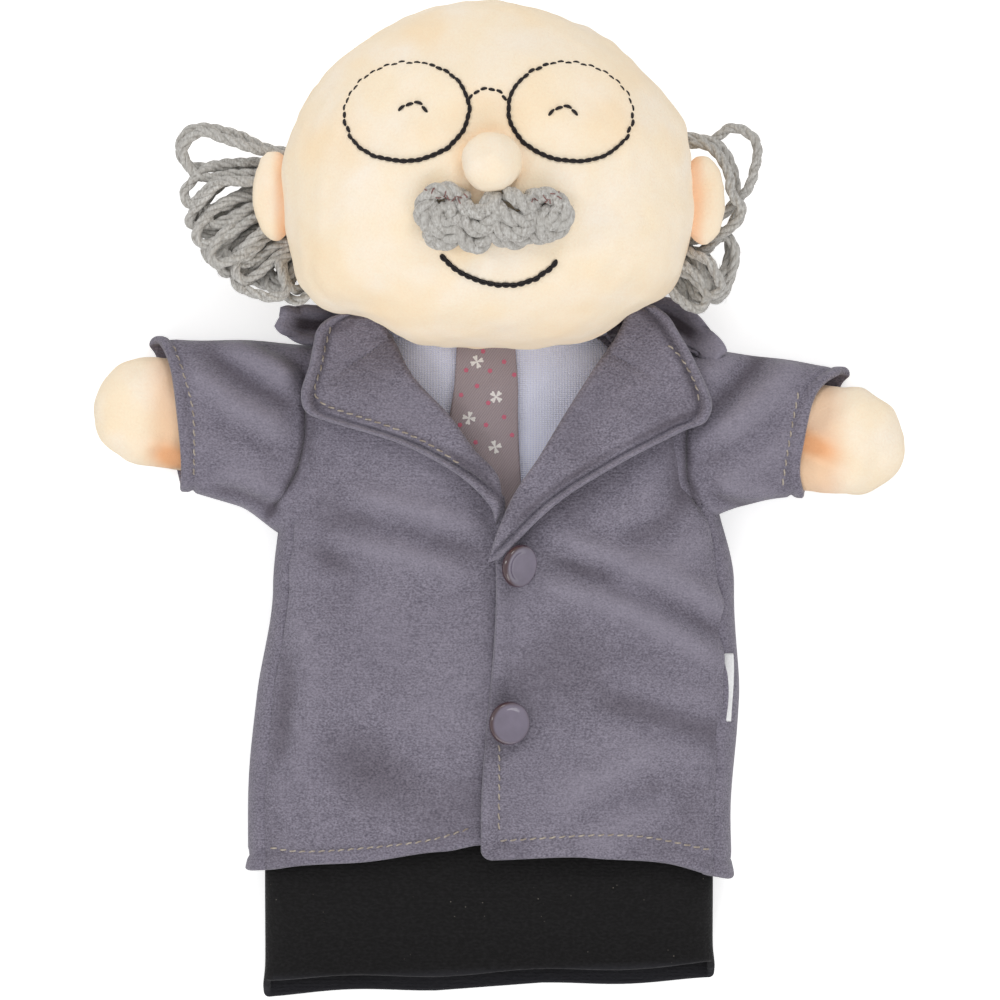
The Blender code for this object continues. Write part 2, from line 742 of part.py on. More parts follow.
def make_coat(left_tool, right_tool):
    seam = GAP / 2 / (FRONT_RISE + BACK_DROP)
    coat_panel(
        "coat_back",
        lambda y: math.pi - COAT_SIDE_ANGLE + seam,
        lambda y: 2 * math.pi + COAT_SIDE_ANGLE - seam,
        COAT_BACK_COLUMNS,
        lambda x: 0.0,
        (left_tool, right_tool),
    )
    coat_panel(
        "coat_front_left",
        lambda y: front_angle(left_front_edge(y), y, COAT_OUTER, COAT_SIDE_EASE),
        lambda y: math.pi - COAT_SIDE_ANGLE - seam,
        COAT_FRONT_COLUMNS,
        lambda x: 0.0,
        (left_tool,),
    )
    coat_panel(
        "coat_front_right",
        lambda y: COAT_SIDE_ANGLE + seam,
        lambda y: front_angle(right_front_edge(y), y, COAT_OUTER, COAT_SIDE_EASE),
        COAT_FRONT_COLUMNS,
        overlap_lift,
        (right_tool,),
    )


def lapel_height(x, y, side):
    """Height of the coat's outer face under a lapel. Past the flat share it stays level."""
    limit = LAPEL_FLAT_FROM * (torso_half_width(y) + COAT_SIDE_EASE + COAT_OUTER)
    held = min(max(x, -limit), limit)
    height = front_height(held, y, COAT_OUTER, COAT_SIDE_EASE)
    return height + (overlap_lift(x) if side > 0 else 0.0)


def lapel_outline(y, side, tip_y, tip_x, corner, bend):
    """Where the outer edge of a lapel runs, from the middle."""
    corner_y = SHOULDER_Y + corner.y
    if y < corner_y:
        return blend(tip_x, corner.x, ((y - tip_y) / (corner_y - tip_y)) ** bend)
    top_y = SHOULDER_Y + LAPEL_RISE
    return blend(corner.x, side * LAPEL_TOP_HALF_WIDTH, ramp((y - corner_y) / (top_y - corner_y)))


def make_lapel(name, side, edge, drop, corner, bend, head_tool):
    """A lapel lies on the coat from the roll line to its outline."""
    tip_y = SHOULDER_Y - drop + LAYER_GAP
    tip_x = edge(tip_y) + side * LAPEL_THICKNESS
    corner_y = SHOULDER_Y + corner.y
    levels = steps(tip_y, corner_y, LAPEL_LOW_ROWS)
    levels += steps(corner_y, SHOULDER_Y + LAPEL_RISE, LAPEL_TOP_ROWS)[1:]
    outer, inner = [], []
    for y in levels:
        outer_row, inner_row = [], []
        outline = lapel_outline(y, side, tip_y, tip_x, corner, bend)
        for x in steps(edge(y), outline, LAPEL_COLUMNS):
            low = lapel_height(x, y, side) + LAPEL_LIFT
            inner_row.append(Vector((torso_middle(y) + x, y, low)))
            outer_row.append(Vector((torso_middle(y) + x, y, low + LAPEL_THICKNESS)))
        outer.append(outer_row)
        inner.append(inner_row)
    cut(sheet(name, outer, inner, GREY_CLOTH), head_tool)


def make_collar():
    """A band behind the neck whose ends curl up beside the head."""
    outer, inner = [], []
    for x in steps(-COLLAR_HALF_LENGTH, COLLAR_HALF_LENGTH, COLLAR_COLUMNS):
        share = abs(x) / COLLAR_HALF_LENGTH
        low_y = SHOULDER_Y + LAYER_GAP + GAP - COLLAR_DIP * ramp(2.0 * share - 1.0)
        width = COLLAR_WIDTH * (1.0 - COLLAR_TAPER * share**6)
        low_z = COLLAR_CURL * ramp((share - 0.4) / 0.6)
        outer_row, inner_row = [], []
        for y in steps(low_y, low_y + width, COLLAR_ROWS):
            inner_row.append(Vector((BODY_X + x, y, low_z)))
            outer_row.append(Vector((BODY_X + x, y, low_z + COLLAR_THICKNESS)))
        outer.append(outer_row)
        inner.append(inner_row)
    sheet("collar", outer, inner, GREY_CLOTH)


# Small pieces on the coat


def button_profile():
    """Half the button's section, from the middle of its face round to the end of its shank."""
    return (
        (0.0, BUTTON_THICKNESS - BUTTON_DISH),
        (BUTTON_RADIUS * 0.55, BUTTON_THICKNESS - BUTTON_DISH * 0.9),
        (BUTTON_RADIUS - 2 * BUTTON_RIM, BUTTON_THICKNESS - BUTTON_DISH * 0.5),
        (BUTTON_RADIUS - BUTTON_RIM, BUTTON_THICKNESS),
        (BUTTON_RADIUS - BUTTON_RIM * 0.4, BUTTON_THICKNESS - BUTTON_RIM * 0.15),
        (BUTTON_RADIUS, BUTTON_THICKNESS * 0.5),
        (BUTTON_RADIUS - BUTTON_RIM, 0.0),
        (SHANK_RADIUS, 0.0),
        (SHANK_RADIUS, -SHANK_LENGTH),
        (0.0, -SHANK_LENGTH),
    )


def make_button(name, below):
    """A dished button on its shank, square to the cloth under it."""
    y = SHOULDER_Y - below
    x = FRONT_EDGE_X + BUTTON_FROM_EDGE
    offset = COAT_OUTER + overlap_lift(x)
    place = torso_point(front_angle(x, y, offset, COAT_SIDE_EASE), y, offset, COAT_SIDE_EASE)
    lift = Vector((0.0, 0.0, SHANK_LENGTH + 2 * GAP))
    rows = []
    for radius, height in button_profile():
        ring = []
        for i in range(BUTTON_AROUND):
            turn = 2.0 * math.pi * i / BUTTON_AROUND
            ring.append(Vector((radius * math.cos(turn), radius * math.sin(turn), height)))
        rows.append(ring)
    bm = bmesh.new()
    add_rows(bm, rows, True)
    finish(name, bm, BUTTON_PLASTIC).location = place + lift


def make_label():
    """A blank label that is sewn into the side seam and lies back on the coat."""
    top = SHOULDER_Y - LABEL_TOP_BELOW
    girth = LABEL_WIDTH / (FRONT_RISE + BACK_DROP + COAT_OUTER)
    outer, inner = [], []
    for y in steps(top - LABEL_LENGTH, top, LABEL_ROWS):
        outer_row, inner_row = [], []
        for angle in steps(COAT_SIDE_ANGLE - girth, COAT_SIDE_ANGLE, LABEL_COLUMNS):
            low = COAT_OUTER + LAYER_GAP
            inner_row.append(torso_point(angle, y, low, COAT_SIDE_EASE))
            outer_row.append(torso_point(angle, y, low + LABEL_THICKNESS, COAT_SIDE_EASE))
        outer.append(outer_row)
        inner.append(inner_row)
    sheet("care_label", outer, inner, LABEL_SATIN)


# Head


def head_rows(first, last, offset, rings, around, least=0.0):
    """Rings of the head from one latitude to another."""
    rows = []
    for latitude in steps(first, last, rings):
        rows.append([head_point(latitude, 2.0 * math.pi * i / around, offset, least) for i in range(around)])
    return rows


def head_cutter(name, offset):
    pole = math.radians(89.0)
    return cutter(name, head_rows(-pole, pole, offset, HEAD_CUTTER_RINGS, HEAD_CUTTER_AROUND, -offset))


def make_head(neck_tool):
    """The face and the back of the head, which meet in the side seam."""
    seam = (GAP / 2 / (HEAD_DEPTH / 2)) ** (HEAD_ROUNDNESS / 2)
    pole = math.pi / 2
    face_outer = head_rows(seam, pole, 0.0, HEAD_RINGS, HEAD_AROUND)
    face_inner = head_rows(seam, pole, -HEAD_WALL, HEAD_RINGS, HEAD_AROUND)
    shell("head_face", face_outer, face_inner, SKIN)
    back_outer = head_rows(-seam, -pole, 0.0, HEAD_RINGS, HEAD_AROUND)
    back_inner = head_rows(-seam, -pole, -HEAD_WALL, HEAD_RINGS, HEAD_AROUND, HEAD_WALL)
    back = shell("head_back", back_outer, back_inner, SKIN)
    cut(back, neck_tool)


def tube_rows(inset, start, end):
    """Rings of the finger tube from its mouth to its closed end."""
    rows = []
    for share in (0.0, 0.7, 0.85, 1.0):
        y = blend(start, end, share)
        spread = 1.0 - TUBE_TAPER * (max(0.0, share - 0.7) / 0.3) ** 2
        ring = []
        for i in range(TUBE_AROUND):
            turn = 2.0 * math.pi * i / TUBE_AROUND
            across = (TUBE_HALF_WIDTH - inset) * spread * math.cos(turn)
            up = (TUBE_HALF_HEIGHT - inset) * spread * math.sin(turn)
            ring.append(Vector((BODY_X + across, y, NECK_MIDDLE_Z + up)))
        rows.append(ring)
    return rows


def make_finger_tube():
    """A lined pocket for the finger that moves the head."""
    start = SHOULDER_Y - TUBE_START_BELOW
    end = start + TUBE_LENGTH
    outer = tube_rows(0.0, start, end)
    inner = tube_rows(TUBE_WALL, start, end - TUBE_WALL)
    bm = bmesh.new()
    outer_verts = add_rows(bm, outer, True)
    inner_verts = add_rows(bm, inner, True)
    join_edges(bm, outer_verts[0] + outer_verts[0][:1], inner_verts[0] + inner_verts[0][:1])
    bm.faces.new(outer_verts[-1])
    bm.faces.new(inner_verts[-1])
    finish("finger_tube", bm, LINING)
    bore = tube_rows(-GAP, start, end + GAP)
    for point in bore[0]:
        point.y -= CUT_REACH
    return cutter("finger_tube_bore", bore)


def make_filling(bore):
    """The wadding in the head, round the finger tube."""
    pole = math.pi / 2
    inset = HEAD_WALL + SEAM_CLEARANCE
    rows = head_rows(-pole, pole, -inset, FILLING_RINGS, FILLING_AROUND, inset)
    bm = bmesh.new()
    add_rows(bm, rows, True)
    cut(finish("head_filling", bm, WADDING), bore)


def ball(name, middle, radii, finish_of):
    """An ellipsoid with its poles front and back, placed by its middle."""
    rows = []
    for latitude in steps(-math.pi / 2, math.pi / 2, BALL_RINGS):
        ring = []
        for i in range(BALL_AROUND):
            turn = 2.0 * math.pi * i / BALL_AROUND
            spread = math.cos(latitude)
            across = radii.x * spread * math.cos(turn)
            up = radii.y * spread * math.sin(turn)
            ring.append(Vector((across, up, radii.z * math.sin(latitude))))
        rows.append(ring)
    bm = bmesh.new()
    add_rows(bm, rows, True)
    part = finish(name, bm, finish_of)
    part.location = middle
    return part


def make_nose(head_tool):
    middle = face_point(NOSE_PLACE, 0.0) + Vector((0.0, 0.0, NOSE_SINK))
    cut(ball("nose", middle, Vector((NOSE_RADIUS, NOSE_RADIUS, NOSE_RADIUS)), SKIN), head_tool)
    clear = NOSE_RADIUS + GAP
    tool = ball("nose_clearance", middle, Vector((clear, clear, clear)), SKIN)
    tool.hide_render = True
    tool.display_type = "WIRE"
    return tool


def make_ear(name, side, up, head_tool):
    """A padded ear that is sewn into the side seam."""
    reach = (EAR_REACH + EAR_ROOT) / 2
    middle = Vector(
        (HEAD_X + side * (HEAD_WIDTH / 2 + EAR_REACH - reach), HEAD_Y + up, HEAD_Z)
    )
    cut(ball(name, middle, Vector((reach, EAR_HALF_HEIGHT, EAR_HALF_DEPTH)), SKIN), head_tool)


def rim_place(side, turn, grow=0.0):
    """A place on a spectacle rim from the middle of the head. The rims lean away from each other."""
    across = (RIM_HALF_WIDTH + grow) * math.cos(turn)
    up = (RIM_HALF_HEIGHT + grow) * math.sin(turn)
    lean = -side * RIM_LEAN
    return Vector(
        (
            side * RIM_SPREAD / 2 + across * math.cos(lean) - up * math.sin(lean),
            RIM_UP + across * math.sin(lean) + up * math.cos(lean),
        )
    )


def make_spectacles():
    """Two stitched rims and the bridge between them."""
    lift = GAP + THREAD_RADIUS
    for name, side in (("rim_left", -1), ("rim_right", 1)):
        turns = steps(0.0, 2.0 * math.pi, RIM_POINTS)[:-1]
        points = [face_point(rim_place(side, turn), lift) for turn in turns]
        thread(name, points, THREAD_RADIUS, BLACK_THREAD, closed=True)
    clear = 2 * THREAD_RADIUS + GAP
    first = rim_place(-1, math.radians(12.0), clear)
    last = rim_place(1, math.radians(168.0), clear)
    points = []
    for share in steps(0.0, 1.0, BRIDGE_POINTS):
        place = first.lerp(last, share)
        place.y += BRIDGE_RISE * math.sin(math.pi * share)
        points.append(face_point(place, lift))
    thread("bridge", points, THREAD_RADIUS, BLACK_THREAD)


def make_arc(name, place, half_width, rise, count):
    """A stitched arc on the face; a negative rise sags."""
    points = []
    for share in steps(-1.0, 1.0, count):
        spot = place + Vector((half_width * share, rise * (1.0 - share * share)))
        points.append(face_point(spot, GAP + THREAD_RADIUS))
    thread(name, points, THREAD_RADIUS, BLACK_THREAD)


def make_moustache(tools):
    """A chunky scalloped strip of yarn under the nose."""
    rows = []
    half_length = MOUSTACHE_LENGTH / 2
    for share in steps(-1.0, 1.0, MOUSTACHE_RINGS):
        place = MOUSTACHE_PLACE + Vector(
            (
                half_length * share,
                MOUSTACHE_SLOPE * half_length * share - MOUSTACHE_SAG * share * share,
            )
        )
        scallop = 1.0 - MOUSTACHE_SCALLOP_DEPTH * math.cos(math.pi * MOUSTACHE_SCALLOPS * share) ** 2
        closing = max(1.0 - abs(share) ** 5, 0.0) ** 0.4
        middle = face_point(place, GAP + MOUSTACHE_THICKNESS * 0.35)
        ring = []
        for i in range(MOUSTACHE_AROUND):
            turn = 2.0 * math.pi * i / MOUSTACHE_AROUND
            up = MOUSTACHE_WIDTH / 2 * scallop * closing * math.cos(turn)
            out = MOUSTACHE_THICKNESS / 2 * closing * math.sin(turn)
            ring.append(middle + Vector((0.0, up, out)))
        rows.append(ring)
    bm = bmesh.new()
    add_rows(bm, rows, True)
    part = finish("moustache", bm, YARN)
    for tool in tools:
        cut(part, tool)


def hair_points(side, loops, top_up, reach, low_reach):
    """One strand in loops that fan out from behind the ear; it turns back in the head's seam at each root."""
    head_level = (HAIR_BEHIND - YARN_RADIUS) / (HEAD_DEPTH / 2)
    head_half = HEAD_WIDTH / 2 * (1.0 - head_level**HEAD_ROUNDNESS) ** (1.0 / HEAD_ROUNDNESS)
    clear = YARN_RADIUS + HAIR_GAP
    points = []
    for i in range(loops):
        share = i / (loops - 1)
        angle = blend(HAIR_TOP_ANGLE, HAIR_LOW_ANGLE, share)
        out = Vector((side * math.cos(angle), math.sin(angle), 0.0))
        down = Vector((side * math.sin(angle), -math.cos(angle), 0.0))
        length = blend(reach, low_reach, share**2)
        root_y = HEAD_Y + top_up - 2 * YARN_SPACING * i
        roundness = CHEEK_ROUNDNESS if root_y < HEAD_Y else CROWN_ROUNDNESS
        nearest = max(abs(root_y - HEAD_Y) - YARN_SPACING, 0.0)  # where the head is widest beside the strand
        beside = (1.0 - (nearest / (HEAD_HEIGHT / 2 + clear)) ** roundness) ** (1.0 / roundness)
        root_x = HEAD_X + side * (head_half + clear) * beside
        root = Vector((root_x, root_y, HEAD_Z - HAIR_BEHIND))
        for j in range(HAIR_POINTS + 1):
            turn = math.pi * (2.0 * j / HAIR_POINTS - 1.0)
            along = length * (0.5 + 0.5 * math.cos(turn))
            bulge = YARN_SPACING * (0.5 + 0.35 * math.sin(math.pi * along / length))
            across = math.sin(turn / 2) * bulge
            points.append(root + out * along + down * (across + YARN_SPACING / 2))
    return points


def make_hair():
    left = hair_points(-1, LEFT_HAIR_LOOPS, LEFT_HAIR_TOP_UP, LEFT_HAIR_REACH, LEFT_HAIR_LOW_REACH)
    thread("hair_left", left, YARN_RADIUS, YARN)
    right = hair_points(1, RIGHT_HAIR_LOOPS, RIGHT_HAIR_TOP_UP, RIGHT_HAIR_REACH, RIGHT_HAIR_LOW_REACH)
    thread("hair_right", right, YARN_RADIUS, YARN)


# Whole puppet


def torso_cutter(name, offset, ease, levels):
    """The glove's form as a solid."""
    rows = []
    for y in levels:
        turns = [2.0 * math.pi * (i + 0.5) / TORSO_CUTTER_AROUND for i in range(TORSO_CUTTER_AROUND)]
        rows.append([torso_point(turn, y, offset, ease, -offset) for turn in turns])
    return cutter(name, rows)


def neck_cutter(name, inset):
    """The inside of the shirt's neck, run on down past the chin."""
    rows = []
    for y in (SHOULDER_Y - HEAD_OVERHANG - CUT_REACH, NECK_Y + CUT_REACH):
        ring = []
        for i in range(NECK_CUTTER_AROUND):
            point = torso_point(2.0 * math.pi * (i + 0.5) / NECK_CUTTER_AROUND, NECK_Y, -inset)
            ring.append(Vector((point.x, y, point.z)))
        rows.append(ring)
    return cutter(name, rows)


def clear_scene():
    for old in list(bpy.data.objects):
        bpy.data.objects.remove(old)


def main():
    clear_scene()
    head_tool = head_cutter("head_clearance", GAP)
    neck_tool = neck_cutter("neck_hole", SHIRT_WALL + GAP)
    shirt_tool = torso_cutter("shirt_clearance", SEAM_CLEARANCE, 0.0, shirt_levels())
    coat_tool = torso_cutter(
        "coat_clearance", COAT_OUTER + SEAM_CLEARANCE, COAT_SIDE_EASE, coat_levels() + [NECK_Y]
    )
    arm_tools = (
        make_arm("arm_left", LEFT_ARM_ROOT, LEFT_HAND_TIP, LEFT_CUFF, shirt_tool),
        make_arm("arm_right", RIGHT_ARM_ROOT, RIGHT_HAND_TIP, RIGHT_CUFF, shirt_tool),
    )
    left_tool = make_sleeve(
        "sleeve_left",
        LEFT_SLEEVE_ROOT,
        LEFT_SLEEVE_ROOT_HALF,
        LEFT_CUFF,
        LEFT_CUFF_HALF,
        -LEFT_CUFF_LEAN,
        coat_tool,
    )
    right_tool = make_sleeve(
        "sleeve_right",
        RIGHT_SLEEVE_ROOT,
        RIGHT_SLEEVE_ROOT_HALF,
        RIGHT_CUFF,
        RIGHT_CUFF_HALF,
        RIGHT_CUFF_LEAN,
        coat_tool,
    )
    make_shirt(arm_tools, head_tool)
    make_trousers()
    make_tie(head_tool)
    make_coat(left_tool, right_tool)
    left_lapel = (LEFT_NECKLINE_DROP, LEFT_LAPEL_CORNER, LEFT_LAPEL_BEND)
    make_lapel("lapel_left", -1, left_front_edge, *left_lapel, head_tool)
    right_lapel = (RIGHT_NECKLINE_DROP, RIGHT_LAPEL_CORNER, RIGHT_LAPEL_BEND)
    make_lapel("lapel_right", 1, right_front_edge, *right_lapel, head_tool)
    make_collar()
    make_button("button_upper", UPPER_BUTTON_BELOW)
    make_button("button_lower", LOWER_BUTTON_BELOW)
    make_label()
    make_head(neck_tool)
    make_filling(make_finger_tube())
    nose_tool = make_nose(head_tool)
    make_ear("ear_left", -1, LEFT_EAR_UP, head_tool)
    make_ear("ear_right", 1, RIGHT_EAR_UP, head_tool)
    make_spectacles()
    make_arc("eye_left", LEFT_EYE_PLACE, EYE_HALF_WIDTH, EYE_RISE, EYE_POINTS)
    make_arc("eye_right", RIGHT_EYE_PLACE, EYE_HALF_WIDTH, EYE_RISE, EYE_POINTS)
    make_arc("mouth", MOUTH_PLACE, MOUTH_HALF_WIDTH, -MOUTH_SAG, MOUTH_POINTS)
    make_moustache((head_tool, nose_tool))
    make_hair()


main()
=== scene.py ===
"""Grandfather glove puppet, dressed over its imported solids.

Metres. +X is the viewer's right, +Y runs from the hem to the head and +Z from the back to the face.
The puppet lies on its back, and the camera looks straight down at it.
"""

from __future__ import annotations

import logging
import math
from collections.abc import Callable, Sequence
from dataclasses import dataclass, field
from enum import Enum
from functools import cache

import bmesh
import bpy
import numpy as np
from bpy.types import Material, NodeSocket, Object
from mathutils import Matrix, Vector
from mathutils.bvhtree import BVHTree


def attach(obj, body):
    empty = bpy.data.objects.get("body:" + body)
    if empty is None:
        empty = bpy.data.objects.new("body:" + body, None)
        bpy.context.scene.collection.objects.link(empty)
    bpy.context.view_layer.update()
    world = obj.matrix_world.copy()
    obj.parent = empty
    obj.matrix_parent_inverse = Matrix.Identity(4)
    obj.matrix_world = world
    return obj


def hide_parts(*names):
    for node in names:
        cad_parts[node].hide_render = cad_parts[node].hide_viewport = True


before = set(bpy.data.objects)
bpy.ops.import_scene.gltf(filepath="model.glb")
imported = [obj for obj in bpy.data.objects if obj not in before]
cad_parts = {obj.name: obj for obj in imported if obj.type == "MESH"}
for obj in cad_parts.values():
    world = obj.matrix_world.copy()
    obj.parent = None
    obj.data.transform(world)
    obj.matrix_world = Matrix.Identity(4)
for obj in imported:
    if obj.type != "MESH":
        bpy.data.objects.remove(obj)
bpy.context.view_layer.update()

Array = np.ndarray
Places = tuple[tuple[float, float], ...]
Colour = tuple[float, float, float]

MM = 0.001
BODY = "root"
LOG = logging.getLogger("puppet")


class Held(Enum):
    """How a sheet of cloth is held."""

    LAID = "laid"
    STRETCHED = "stretched"
    FOLDED = "folded"


# Numbers and curves


def ramp(share: Array | float) -> Array:
    """Rise from 0 to 1 with a smooth start and end."""
    held = np.clip(share, 0.0, 1.0)
    return held * held * (3.0 - 2.0 * held)


def blend(first: Array | float, last: Array | float, share: Array | float) -> Array:
    """Pass from one value to another."""
    return first + (last - first) * share


def power(value: Array, exponent: float) -> Array:
    """Raise the size of a value and keep its sign."""
    return np.copysign(np.abs(value) ** exponent, value)


def through(stations: Sequence[tuple[float, float]], place: Array | float) -> Array:
    """Follow a smooth value through stations, level past both ends.

    Args:
        stations: Pairs of place and value, in order.
        place: Where the value is asked for.

    Returns:
        The value there.
    """
    where = np.asarray(place, float)
    value = np.full(where.shape, stations[0][1])
    for (low_place, low_value), (high_place, high_value) in zip(stations, stations[1:]):
        share = ramp((where - low_place) / (high_place - low_place))
        value = np.where(where >= low_place, blend(low_value, high_value, share), value)
    return value


def rimmed_steps(count: int, near_first: bool = True, near_last: bool = True, rim: float = 0.02) -> Array:
    """Shares from 0 to 1 that crowd together at the chosen ends.

    Args:
        count: Number of even steps between the ends.
        near_first: Whether the steps crowd at 0.
        near_last: Whether the steps crowd at 1.
        rim: Share of the length that a crowded end takes.

    Returns:
        The shares in order.
    """
    quarter = rim * (1.0 - np.cos(np.linspace(0.0, math.pi / 2, 6)))
    first = quarter[:-1] if near_first else np.zeros(0)
    last = (1.0 - quarter[::-1])[1:] if near_last else np.zeros(0)
    start = rim if near_first else 0.0
    end = 1.0 - rim if near_last else 1.0
    return np.concatenate([first, np.linspace(start, end, count + 1), last])


def smooth_path(points: Array, step: float, closed: bool = False) -> Array:
    """Run a rounded path through points and divide it evenly.

    Args:
        points: Places in order, two or three numbers each.
        step: Rough distance between the new places.
        closed: Whether the path returns to its start.

    Returns:
        The evenly spaced places.
    """
    spots = np.asarray(points, float)
    if closed:
        spots = np.concatenate([spots[-1:], spots, spots[:2]])
    else:
        spots = np.concatenate([2 * spots[:1] - spots[1:2], spots, 2 * spots[-1:] - spots[-2:-1]])
    t = np.linspace(0.0, 1.0, 12, endpoint=False)[:, None]
    runs = []
    for a, b, c, d in zip(spots, spots[1:], spots[2:], spots[3:]):
        runs.append(0.5 * (2 * b + (c - a) * t + (2 * a - 5 * b + 4 * c - d) * t**2 + (3 * b - a - 3 * c + d) * t**3))
    dense = np.concatenate([*runs, spots[-2:-1]])
    lengths = np.concatenate([[0.0], np.cumsum(np.linalg.norm(np.diff(dense, axis=0), axis=1))])
    count = max(int(round(lengths[-1] / step)), 2)
    places = np.linspace(0.0, lengths[-1], count + 1)
    return np.stack([np.interp(places, lengths, dense[:, k]) for k in range(dense.shape[1])], axis=1)


def line_distance(x: Array, y: Array, line: Array) -> tuple[Array, Array]:
    """Distance from places to a line of straight runs, seen from above.

    Args:
        x: Places across.
        y: Places along.
        line: Corners of the line, two numbers each.

    Returns:
        The distance, and the share of the line's length at the nearest place.
    """
    nearest = np.full(np.shape(x), 1e9)
    share = np.zeros(np.shape(x))
    lengths = np.linalg.norm(np.diff(line, axis=0), axis=1)
    before = np.concatenate([[0.0], np.cumsum(lengths)])
    for i, (a, b) in enumerate(zip(line, line[1:])):
        run = b - a
        t = np.clip(((x - a[0]) * run[0] + (y - a[1]) * run[1]) / max(run @ run, 1e-12), 0.0, 1.0)
        distance = np.hypot(x - a[0] - t * run[0], y - a[1] - t * run[1])
        closer = distance < nearest
        nearest = np.where(closer, distance, nearest)
        share = np.where(closer, (before[i] + t * lengths[i]) / before[-1], share)
    return nearest, share


def ripple(points: Array, scale: float, seed: int, count: int = 14) -> Array:
    """Smooth uneven waves through space, as hand-made cloth has.

    Args:
        points: Places, with three numbers last.
        scale: Rough distance between crests.
        seed: Number that picks the waves.
        count: How many waves are added up.

    Returns:
        A value of about -1 to 1 at each place.
    """
    chance = np.random.default_rng(seed)
    total = np.zeros(points.shape[:-1])
    for _ in range(count):
        way = chance.normal(size=3)
        way *= 2 * math.pi / (scale * chance.uniform(0.7, 1.8)) / np.linalg.norm(way)
        total += np.sin(points @ way + chance.uniform(0.0, 2 * math.pi))
    return total / math.sqrt(count)


# Meshes


def mesh_piece(name: str, points: Array, quads: Array, material: Material, mend: bool = False) -> Object:
    """Make a smooth piece from points and four-sided faces.

    Args:
        name: The piece's name.
        points: One row for each point.
        quads: One row of four point numbers for each face; a repeated last number makes a triangle.
        material: The finish.
        mend: Whether near points are joined and all faces turned outwards.

    Returns:
        The new object.
    """
    mesh = bpy.data.meshes.new(name)
    triangle = quads[:, 2] == quads[:, 3]
    sizes = np.where(triangle, 3, 4)
    keep = np.ones(quads.shape, bool)
    keep[triangle, 3] = False
    loops = quads[keep]
    mesh.vertices.add(len(points))
    mesh.vertices.foreach_set("co", np.ascontiguousarray(points, np.float32).ravel())
    mesh.loops.add(len(loops))
    mesh.loops.foreach_set("vertex_index", np.ascontiguousarray(loops, np.int32))
    mesh.polygons.add(len(quads))
    mesh.polygons.foreach_set("loop_start", np.ascontiguousarray(np.cumsum(sizes) - sizes, np.int32))
    mesh.update(calc_edges=True)
    if mend:
        bm = bmesh.new()
        bm.from_mesh(mesh)
        bmesh.ops.remove_doubles(bm, verts=bm.verts, dist=1e-7)
        bmesh.ops.recalc_face_normals(bm, faces=bm.faces)
        bm.to_mesh(mesh)
        bm.free()
    mesh.shade_smooth()
    mesh.materials.append(material)
    piece = bpy.data.objects.new(name, mesh)
    bpy.context.scene.collection.objects.link(piece)
    return piece


def grid_faces(index: Array, wrapped: bool) -> Array:
    """Faces between the rows and columns of a grid of point numbers.

    Args:
        index: Point numbers in rows.
        wrapped: Whether the last column joins the first.

    Returns:
        Rows of four point numbers.
    """
    if wrapped:
        index = np.concatenate([index, index[:, :1]], axis=1)
    faces = np.stack([index[:-1, :-1], index[:-1, 1:], index[1:, 1:], index[1:, :-1]], axis=-1)
    return faces.reshape(-1, 4)


def grid_normals(grid: Array, wrapped: bool, inside: Array | None) -> Array:
    """Outward directions of a grid of places.

    Args:
        grid: Rows and columns of places.
        wrapped: Whether the last column joins the first.
        inside: A place that the cloth faces away from, or None where it faces up.

    Returns:
        A unit direction at each place.
    """
    down = np.gradient(grid, axis=0)
    if wrapped:
        across = (np.roll(grid, -1, axis=1) - np.roll(grid, 1, axis=1)) / 2
    else:
        across = np.gradient(grid, axis=1)
    normal = np.cross(across, down)
    normal /= np.maximum(np.linalg.norm(normal, axis=2, keepdims=True), 1e-12)
    away = np.sum(normal * (grid - inside)) if inside is not None else np.sum(normal[..., 2])
    return normal if away > 0 else -normal


def border_distance(grid: Array, rounded: tuple[bool, bool, bool, bool], wrapped: bool) -> Array:
    """Distance along the cloth to its nearest rounded border.

    Args:
        grid: Rows and columns of places.
        rounded: Whether the first row, last row, first column and last column are such borders.
        wrapped: Whether the columns have no border.

    Returns:
        The distance at each place.
    """
    rows = np.concatenate(
        [np.zeros((1, grid.shape[1])), np.cumsum(np.linalg.norm(np.diff(grid, axis=0), axis=2), axis=0)]
    )
    columns = np.concatenate(
        [np.zeros((grid.shape[0], 1)), np.cumsum(np.linalg.norm(np.diff(grid, axis=1), axis=2), axis=1)], axis=1
    )
    nearest = np.full(grid.shape[:2], 1.0)
    if rounded[0]:
        nearest = np.minimum(nearest, rows)
    if rounded[1]:
        nearest = np.minimum(nearest, rows[-1:] - rows)
    if not wrapped and rounded[2]:
        nearest = np.minimum(nearest, columns)
    if not wrapped and rounded[3]:
        nearest = np.minimum(nearest, columns[:, -1:] - columns)
    return nearest


